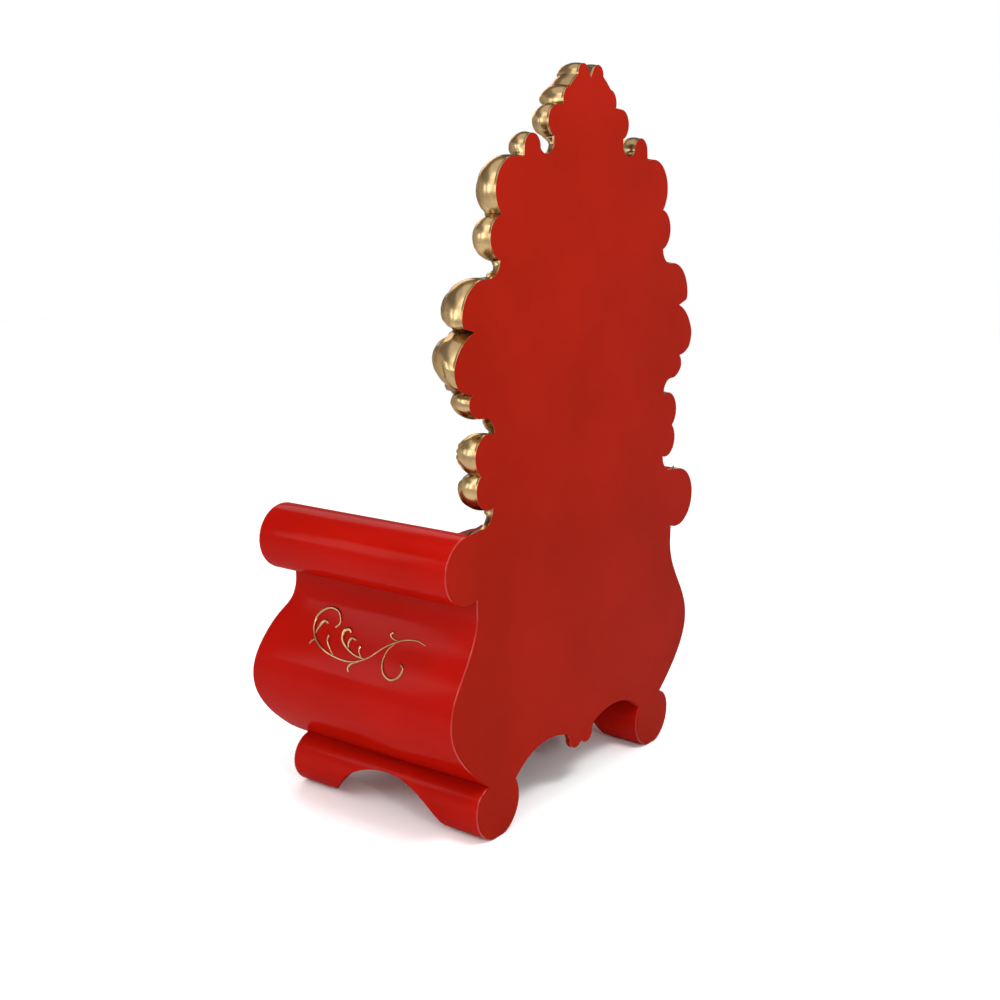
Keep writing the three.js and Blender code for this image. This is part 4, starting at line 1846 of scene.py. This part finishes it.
@dataclass
class Rosette:
    """The carved and gilded rosette on the flat front of an arm roll."""

    hand: Hand
    radius: float = 58
    petals: int = 12
    boss_r: float = 14.5
    petal_r: tuple[float, float] = (15, 43)
    rim_r: float = 51
    rim_width: float = 7.2
    floor: float = 3

    def make(self, gilt: Material) -> Piece:
        """Builds the rosette: a boss, a ring of rounded petals and a turned rim.

        Each petal's height is the root of the cosine of the angle from its middle.

        Args:
            gilt: Finish of gold leaf.

        Returns:
            The finished piece.
        """
        low_r, high_r = self.petal_r
        angle = np.linspace(0, 2 * math.pi, 12 * self.petals, endpoint=False)[None]
        r = np.concatenate([
            np.linspace(1, low_r - 1, 8), np.linspace(low_r, high_r, 16),
            np.linspace(high_r + 1, self.radius - GAP, 10)])[:, None]
        boss = 8 * np.sqrt(np.clip(1 - (r / self.boss_r) ** 2, 0, 1))
        share = np.clip((r - low_r) / (high_r - low_r), 0, 1)
        petal = np.abs(np.cos(angle * self.petals / 2)) ** 0.6
        crown = 7 * np.sin(math.pi * share) ** 0.6 * (0.25 + 0.75 * petal)
        rim = 8 * np.sqrt(np.clip(1 - ((r - self.rim_r) / self.rim_width) ** 2, 0, 1))
        height = self.floor + np.maximum(np.maximum(boss, crown), rim)
        x, y, _ = PROFILE.roll
        base = PROFILE.roll_front + GAP
        rows = [(r * np.cos(angle), r * np.sin(angle), height + 0 * angle)]
        edge = self.radius * np.ones((2, 1))
        low = np.array([[float(self.floor)], [0.0]])
        rows.append((edge * np.cos(angle), edge * np.sin(angle), low + 0 * angle))
        across, up, depth = (np.concatenate(parts) for parts in zip(*rows))
        solid = Solid()
        solid.add_rings(place((x + across) * self.hand.value, y + up, base + depth))
        name = self.hand.name.lower()
        piece = solid.build(f"rosette_{name}", [gilt], sharp=50)
        # the rosette's hollows take the gilt's brown: wash and painted shade
        mark_hollows(piece, rounds=6)
        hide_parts(f"arm_rosette_{name}")
        return piece


# ----------------------------------------------------------------- cushions


INFLATE_FRAMES = 20  # frames of cloth simulation


def inflate(piece: Piece, voxel_mm: float, pressure: float, cap_mm: float) -> None:
    """Swells a closed pad as cloth under air pressure, without gravity, and keeps its shape.

    The mesh is remeshed evenly, simulated for a few frames, and each point's travel is
    then held to a limit.

    Args:
        piece: The pad, a closed mesh.
        voxel_mm: Size of the remesh's cells.
        pressure: Air pressure inside.
        cap_mm: Farthest that a point may move.
    """
    remesh = piece.modifiers.new("remesh", "REMESH")
    remesh.mode = "VOXEL"
    remesh.voxel_size = voxel_mm * MM
    bake(piece)
    start = coordinates(piece.data)
    cloth = piece.modifiers.new("cloth", "CLOTH")
    cloth.settings.use_pressure = True
    cloth.settings.uniform_pressure_force = pressure
    cloth.settings.effector_weights.gravity = 0
    cloth.settings.quality = 4
    cloth.collision_settings.use_collision = False
    for number in range(1, INFLATE_FRAMES + 1):
        bpy.context.scene.frame_set(number)
    bake(piece)
    bpy.context.scene.frame_set(1)
    step = coordinates(piece.data) - start
    far = np.linalg.norm(step, axis=1, keepdims=True) / (cap_mm * MM)
    set_coordinates(piece.data, start + step / np.maximum(far, 1))


def bake(piece: Piece) -> None:
    """Turns a piece's modifiers into its mesh.

    Args:
        piece: The piece.
    """
    graph = bpy.context.evaluated_depsgraph_get()
    mesh = bpy.data.meshes.new_from_object(piece.evaluated_get(graph))
    piece.modifiers.clear()
    piece.data = mesh


def coordinates(mesh: bpy.types.Mesh) -> Array:
    """A mesh's points as rows of three.

    Args:
        mesh: The mesh.

    Returns:
        The points, in metres.
    """
    found = np.empty(len(mesh.vertices) * 3)
    mesh.vertices.foreach_get("co", found)
    return found.reshape(-1, 3)


def set_coordinates(mesh: bpy.types.Mesh, points: Array) -> None:
    """Moves a mesh's points."""
    mesh.vertices.foreach_set("co", points.ravel())
    mesh.update()


def soften(piece: Piece, material: Material) -> None:
    """Adds one subdivision to a pad, shades it smooth and gives it its material again.

    Args:
        piece: The piece.
        material: The material it gets.
    """
    smooth = piece.modifiers.new("smooth", "SUBSURF")
    smooth.levels = smooth.render_levels = 1
    bake(piece)
    piece.data.polygons.foreach_set("use_smooth", [True] * len(piece.data.polygons))
    piece.data.materials.clear()
    piece.data.materials.append(material)


def add_tube(solid: Solid, path: Array, radius_mm: float, facets: int = 10) -> None:
    """Adds a round cord along a closed path of points in metres.

    Each ring is a circle across the path's direction, set out from that direction and the
    upright, or from that direction and y where the path stands upright.

    Args:
        solid: The solid that is added to.
        path: Points along the path.
        radius_mm: Radius of the cord.
        facets: Number of sides of the cord.
    """
    tangent = np.roll(path, -1, axis=0) - np.roll(path, 1, axis=0)
    tangent /= np.linalg.norm(tangent, axis=1, keepdims=True)
    upright = np.ptp(path[:, 2]) > 0.3
    helper = np.array([0.0, 1.0, 0.0]) if upright else np.array([0.0, 0.0, 1.0])
    side = np.cross(tangent, helper)
    side /= np.maximum(np.linalg.norm(side, axis=1, keepdims=True), TINY)
    over = np.cross(side, tangent)
    turn = np.linspace(0, 2 * math.pi, facets, endpoint=False)
    cos, sin = np.cos(turn)[None, :, None], np.sin(turn)[None, :, None]
    ring = side[:, None] * cos + over[:, None] * sin
    first = solid.add_points(path[:, None] + ring * radius_mm * MM)
    quads = grid_faces(len(path), facets, first=first)
    last = first + (len(path) - 1) * facets
    here = np.arange(facets)
    after = (here + 1) % facets
    seam = np.stack([last + here, last + after, first + after, first + here], axis=1)
    solid.add_faces(np.concatenate([quads, seam]))


def eased(values: Array, rounds: int = 12) -> Array:
    """Rows along a closed path, each mixed with its neighbours a few times over.

    Args:
        values: One row for each point of the path.
        rounds: How often they are mixed.

    Returns:
        The mixed rows.
    """
    for _ in range(rounds):
        values = 0.5 * values + 0.25 * (np.roll(values, 1, axis=0) + np.roll(values, -1, axis=0))
    return values


def hug(path: Array, pad: Piece, lift_mm: float) -> Array:
    """Points of a path moved to the nearest place on a pad and lifted off it a little.

    Args:
        path: Points along the path.
        pad: The finished pad.
        lift_mm: Distance off the pad.

    Returns:
        The moved points, in metres.
    """
    tree = BVHTree.FromObject(pad, bpy.context.evaluated_depsgraph_get())
    hits = [tree.find_nearest(Vector(point)) for point in path.tolist()]
    spots = np.array([hit[0][:] for hit in hits])
    normals = np.array([hit[1][:] for hit in hits])
    return eased(spots) + eased(normals) * lift_mm * MM


@dataclass
class SeatCushion:
    """The loose velvet seat cushion, a foam box with crowned faces and corded seams.

    Attributes:
        voxel: Size of the remesh's cells.
        pressure: Air pressure that swells it.
        cap: Farthest that a point moves as it swells.
        shrink: How far it stands in from its solid.
        cord: Radius of the cord.
        corner: Radius of its corners in plan.
        edge: Rings of its edge, as distance in from the seam and from the face.
    """

    voxel: float = 6.0
    pressure: float = 4.0
    cap: float = 22.0
    shrink: float = 2.0
    cord: float = 4.6
    corner: float = 20.0
    pitch: float = 6.0
    edge: tuple[tuple[float, float], ...] = ((0.0, 10.0), (0.0, 3.0), (4.5, 0.0))

    def make(self, velvet: Material) -> list[Piece]:
        """Builds the cushion and the cord along its two seams.

        Args:
            velvet: Finish of velvet.

        Returns:
            The pad and its cord.
        """
        low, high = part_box("seat_cushion")
        half = high.x / MM - self.shrink
        back = (REAR_Y - high.y) / MM + self.shrink
        front = (REAR_Y - low.y) / MM - self.shrink
        floor, top = (low.z - FLOOR_Z) / MM + 1, (high.z - FLOOR_Z) / MM - 1.5
        seam = self.corner_loop(half, back, front)
        layers = [(inset, floor + drop) for inset, drop in self.edge[::-1]]
        layers += [(inset, top - drop) for inset, drop in self.edge]
        rings = [(self.shrunk(seam, inset).T, up) for inset, up in layers]
        solid = Solid()
        solid.add_rings(np.stack([place(x, np.full(len(seam), up), y) for (x, y), up in rings]))
        pad = solid.build("seat_pad", [velvet])
        inflate(pad, self.voxel, self.pressure, self.cap)
        self.seat_on_deck(pad, low.z)
        soften(pad, velvet)
        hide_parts("seat_cushion")
        cords = Solid()
        for up in (top - 2, floor + 8):
            path = place(seam[:, 0], np.full(len(seam), up), seam[:, 1])
            add_tube(cords, hug(path, pad, self.cord * 0.35), self.cord)
        cord = cords.build("seat_cords", [velvet], sharp=80)
        return [pad, cord]

    def corner_loop(self, half: float, back: float, front: float) -> Array:
        """Plan of the cushion, across and forward, a rectangle with round corners.

        Args:
            half: Half its width, in mm.
            back: Forward distance of its back.
            front: Forward distance of its front.

        Returns:
            Points of the plan.
        """
        r = self.corner
        pen = Pen(0, back, self.pitch)
        pen.arc(half - r, back + r, r, -math.pi / 2, 0)
        pen.arc(half - r, front - r, r, 0, math.pi / 2)
        pen.line(0, front)
        return mirrored(pen.points())

    @staticmethod
    def shrunk(seam: Array, inset: float) -> Array:
        """The seam drawn in towards the middle by about some distance.

        Args:
            seam: Plan of the seam.
            inset: Distance drawn in, in mm.

        Returns:
            Points of the smaller loop.
        """
        centre = seam.mean(axis=0)
        size = np.abs(seam - centre).max(axis=0)
        return centre + (seam - centre) * (1 - inset / size)

    @staticmethod
    def seat_on_deck(pad: Piece, deck: float) -> None:
        """Flattens whatever hangs below the deck onto it.

        Args:
            pad: The finished pad.
            deck: Height of the deck, in metres.
        """
        points = coordinates(pad.data)
        points[:, 2] = np.maximum(points[:, 2], deck + 0.2 * MM)
        set_coordinates(pad.data, points)


@dataclass
class BackCushion:
    """The velvet pad upholstered inside the gilt surround, crowned, with a corded edge.

    Attributes:
        voxel: Size of the remesh's cells.
        pressure: Air pressure that swells it.
        cap: Farthest that a point moves as it swells.
        inset: How far it stands in from the opening.
        edge: Forward distance of its face at the edge.
        crown: How much farther forward the middle stands.
        crown_width: Distance over which the face rises to its crown.
        cord: Radius of the cord.
        rear: Forward distance of its rear face.
        surround_depth: Forward distance up to which it stays inside the opening.
    """

    voxel: float = 6.0
    pressure: float = 3.0
    cap: float = 22.0
    inset: float = 4.0
    edge: float = 24.0
    crown: float = 17.0
    crown_width: float = 60.0
    cord: float = 4.4
    rear: float = 6.8
    surround_depth: float = 40.0

    def make(self, velvet: Material) -> list[Piece]:
        """Builds the pad and the cord round it.

        Args:
            velvet: Finish of velvet.

        Returns:
            The pad and its cord.
        """
        loop = PROFILE.opening(6.0)
        border = loop - outward(loop) * self.inset
        closed = np.concatenate([border, border[:1]])

        def face(x: Array, y: Array) -> Array:
            """Forward distance of the crowned front, by one minus a falling exponential."""
            way_in = distance_to(np.stack([x, y], axis=1), closed)
            return self.edge + self.crown * (1 - np.exp(-way_in / self.crown_width))

        pad_shape = Prism(border, level(8.0), face, 1.0, 7.0, 14.0, 1)
        solid = Solid()
        pad_shape.add_to(solid)
        pad = solid.build("back_pad", [velvet])
        inflate(pad, self.voxel, self.pressure, self.cap)
        self.keep_behind(pad)
        soften(pad, velvet)
        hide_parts("back_cushion")
        ring = border - outward(border) * 3.0
        cords = Solid()
        add_tube(cords, place(ring[:, 0], ring[:, 1], np.full(len(ring), self.edge + 4)), self.cord)
        cord = cords.build("back_cord", [velvet], sharp=80)
        return [pad, cord]

    def keep_behind(self, pad: Piece) -> None:
        """Holds the pad in front of the board and inside the opening.

        Args:
            pad: The finished pad.
        """
        points = coordinates(pad.data)
        points[:, 1] = np.minimum(points[:, 1], REAR_Y - self.rear * MM)
        sheet = np.stack([points[:, 0] / MM, (points[:, 2] - FLOOR_Z) / MM], axis=1)
        loop = PROFILE.opening(4.0)
        border = loop - outward(loop) * 1.0
        out = ~inside(sheet, [border])
        deep = points[:, 1] > REAR_Y - self.surround_depth * MM
        index = np.nonzero(out & deep)[0]
        if len(index):
            gap = ((sheet[index, None] - border[None]) ** 2).sum(axis=2).argmin(axis=1)
            points[index, 0] = border[gap, 0] * MM
            points[index, 2] = border[gap, 1] * MM + FLOOR_Z
        set_coordinates(pad.data, points)


# -------------------------------------------------------------------- studio


@dataclass(frozen=True)
class Panel:
    """One rectangular panel of light.

    Attributes:
        name: The light's name.
        spot: Where it stands, in metres.
        aim: The point it faces.
        size: Its width and height.
        power: Its power in watts.
    """

    name: str
    spot: tuple[float, float, float]
    aim: tuple[float, float, float]
    size: tuple[float, float]
    power: float

    def add(self) -> None:
        """Adds the panel to the scene."""
        light = bpy.data.lights.new(self.name, "AREA")
        light.shape = "RECTANGLE"
        light.size, light.size_y = self.size
        light.energy = self.power
        lamp = bpy.data.objects.new(self.name, light)
        lamp.location = self.spot
        heading = Vector(self.aim) - Vector(self.spot)
        lamp.rotation_euler = heading.to_track_quat("-Z", "Y").to_euler()
        bpy.context.scene.collection.objects.link(lamp)


PANELS = [
    Panel("crest", (0.5, 1.9, 3.1), (0.0, 0.3, 1.7), (1.2, 0.7), 56),
    Panel("side", (2.7, -2.0, 1.7), (0.4, 0.0, 1.1), (0.6, 1.1), 9),
    Panel("ovals", (3.1, -0.8, 1.8), (0.4, 0.1, 1.2), (0.6, 1.1), 14),
    Panel("above", (3.0, -0.6, 3.4), (0.5, 0.0, 0.6), (0.7, 2.2), 14),
    Panel("front", (-1.6, -2.6, 2.9), (0.3, 0.0, 0.8), (1.8, 1.5), 34),
    Panel("glint", (2.0, 2.9, 1.7), (0.3, 0.3, 0.8), (0.1, 0.3), 24),
]


@dataclass
class Studio:
    """A white floor and background, soft panels of light, and the camera."""

    camera_mm: tuple[float, float, float] = (2830.1, 2141.5, 1520.1)
    azimuth: float = 126.34
    pitch_down: float = 12.70
    lens: float = 49.92
    ceiling: float = 0.42
    sun: float = 1.84
    floor_r: float = 14.0

    def make(self) -> None:
        """Builds the floor, the lights, the surroundings and the camera."""
        self.add_floor()
        self.add_world()
        self.add_sun()
        for panel in PANELS:
            panel.add()
        self.add_camera()

    def add_floor(self) -> None:
        """Adds the floor, a wide disc of white board."""
        turn = np.linspace(0, 2 * math.pi, 96, endpoint=False)
        points = np.stack([
            self.floor_r * np.cos(turn), self.floor_r * np.sin(turn), 0 * turn + FLOOR_Z], axis=1)
        mesh = bpy.data.meshes.new("floor")
        mesh.from_pydata(points.tolist(), [], [list(range(len(points)))])
        recipe = Recipe("white_board")
        shade = recipe.ramp(recipe.noise(400, 2), [(0.3, "#fefefe"), (0.7, "#ffffff")])
        recipe.connect(recipe.shader, {"Base Color": shade, "Roughness": 0.9})
        mesh.materials.append(recipe.material)
        floor = bpy.data.objects.new("floor", mesh)
        bpy.context.scene.collection.objects.link(floor)

    def add_world(self) -> None:
        """Sets the surroundings: a white wall all round that gets darker towards the ceiling."""
        world = bpy.data.worlds.new("studio")
        bpy.context.scene.world = world
        world.use_nodes = True
        nodes, links = world.node_tree.nodes, world.node_tree.links
        heading = nodes.new("ShaderNodeTexCoord")
        split = nodes.new("ShaderNodeSeparateXYZ")
        ramp = nodes.new("ShaderNodeValToRGB")
        links.new(heading.outputs["Generated"], split.inputs[0])
        links.new(split.outputs["Z"], ramp.inputs[0])
        stops = ramp.color_ramp.elements
        stops[0].position, stops[0].color = 0.20, (1, 1, 1, 1)
        stops[1].position, stops[1].color = 0.36, (self.ceiling,) * 3 + (1,)
        links.new(ramp.outputs["Color"], nodes["Background"].inputs["Color"])

    def add_sun(self) -> None:
        """Adds even light from above, so wide that it casts only soft shadows."""
        light = bpy.data.lights.new("sky_panel", "SUN")
        light.energy = self.sun
        light.angle = math.radians(100)
        lamp = bpy.data.objects.new("sky_panel", light)
        lamp.rotation_euler = (math.radians(-12), math.radians(14), 0)
        bpy.context.scene.collection.objects.link(lamp)

    def add_camera(self) -> None:
        """Adds the camera, level from side to side."""
        camera = bpy.data.cameras.new("camera")
        camera.lens = self.lens
        camera.sensor_width = 36
        holder = bpy.data.objects.new("camera", camera)
        holder.location = Vector(self.camera_mm) * MM
        holder.rotation_euler = (math.radians(90 - self.pitch_down), 0, math.radians(self.azimuth))
        bpy.context.scene.collection.objects.link(holder)
        bpy.context.scene.camera = holder


# ---------------------------------------------------------------------- main


@dataclass
class Throne:
    """The whole throne: makes every piece and hangs it on the frame."""

    lacquer: LacquerFinish = LacquerFinish("polished_gel_coat", "#960d04", "#8e0a03", 0.2, 0.09, 0.0)
    board_lacquer: LacquerFinish = LacquerFinish(
        "satin_gel_coat", "#831508", "#7b1306", 0.34, 0.0, 0.010)
    edge_lacquer: LacquerFinish = LacquerFinish(
        "buffed_gel_coat", "#960f05", "#8e0d04", 0.16, 0.4, 0.15)
    gilt: GiltFinish = GiltFinish("gold_leaf", "#aa8e62", "#8b7250", "#1e1209", "#a08660", 0.23)
    # copper-red and brown colours are a painted reflection of the red lacquer round the scroll
    painted_reflection_gilt: GiltFinish = GiltFinish(
        "painted_reflection_gold_leaf", "#b48862", "#85583c", "#4a1a0c", "#a87c5c", 0.13)
    velvet: VelvetFinish = VelvetFinish("cotton_velvet", "#780d1a", "#670a16", "#a83040")

    def make(self) -> None:
        """Builds all pieces, in order."""
        polished, satin = self.lacquer.make(), self.board_lacquer.make()
        gold, painted_reflection_gold, velvet = self.gilt.make(), self.painted_reflection_gilt.make(), self.velvet.make()
        self.hang(BackBoard().make(satin, gold, self.edge_lacquer.make()), "red_lacquer")
        self.hang(Surround().make(gold), "gilt")
        for hand in Hand:
            self.hang(Side(hand).make(polished), "red_lacquer")
            # the scroll's gold is tinted copper-red and brown: a painted reflection of the red
            # lacquer round it
            self.hang(SideScroll(hand).make(painted_reflection_gold), "gilt")
            self.hang(Rosette(hand).make(gold), "gilt")
        self.hang(SeatBase().make(polished), "red_lacquer")
        for piece in SeatCushion().make(velvet) + BackCushion().make(velvet):
            self.hang(piece, "crimson_velvet")

    @staticmethod
    def hang(piece: Piece, slot: str) -> None:
        """Puts a finished piece on the frame's body and logs how many faces it has.

        Args:
            piece: The piece.
            slot: Name of the slot; not used.
        """
        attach(piece, "root")
        log.info("%s: %d faces", piece.name, len(piece.data.polygons))


def main() -> None:
    """Makes the throne and its studio."""
    logging.basicConfig(level=logging.INFO, format="%(name)s %(message)s", stream=sys.stdout)
    bpy.context.scene.view_settings.view_transform = "Standard"
    Studio().make()
    Throne().make()


if __name__ == "__main__":
    main()
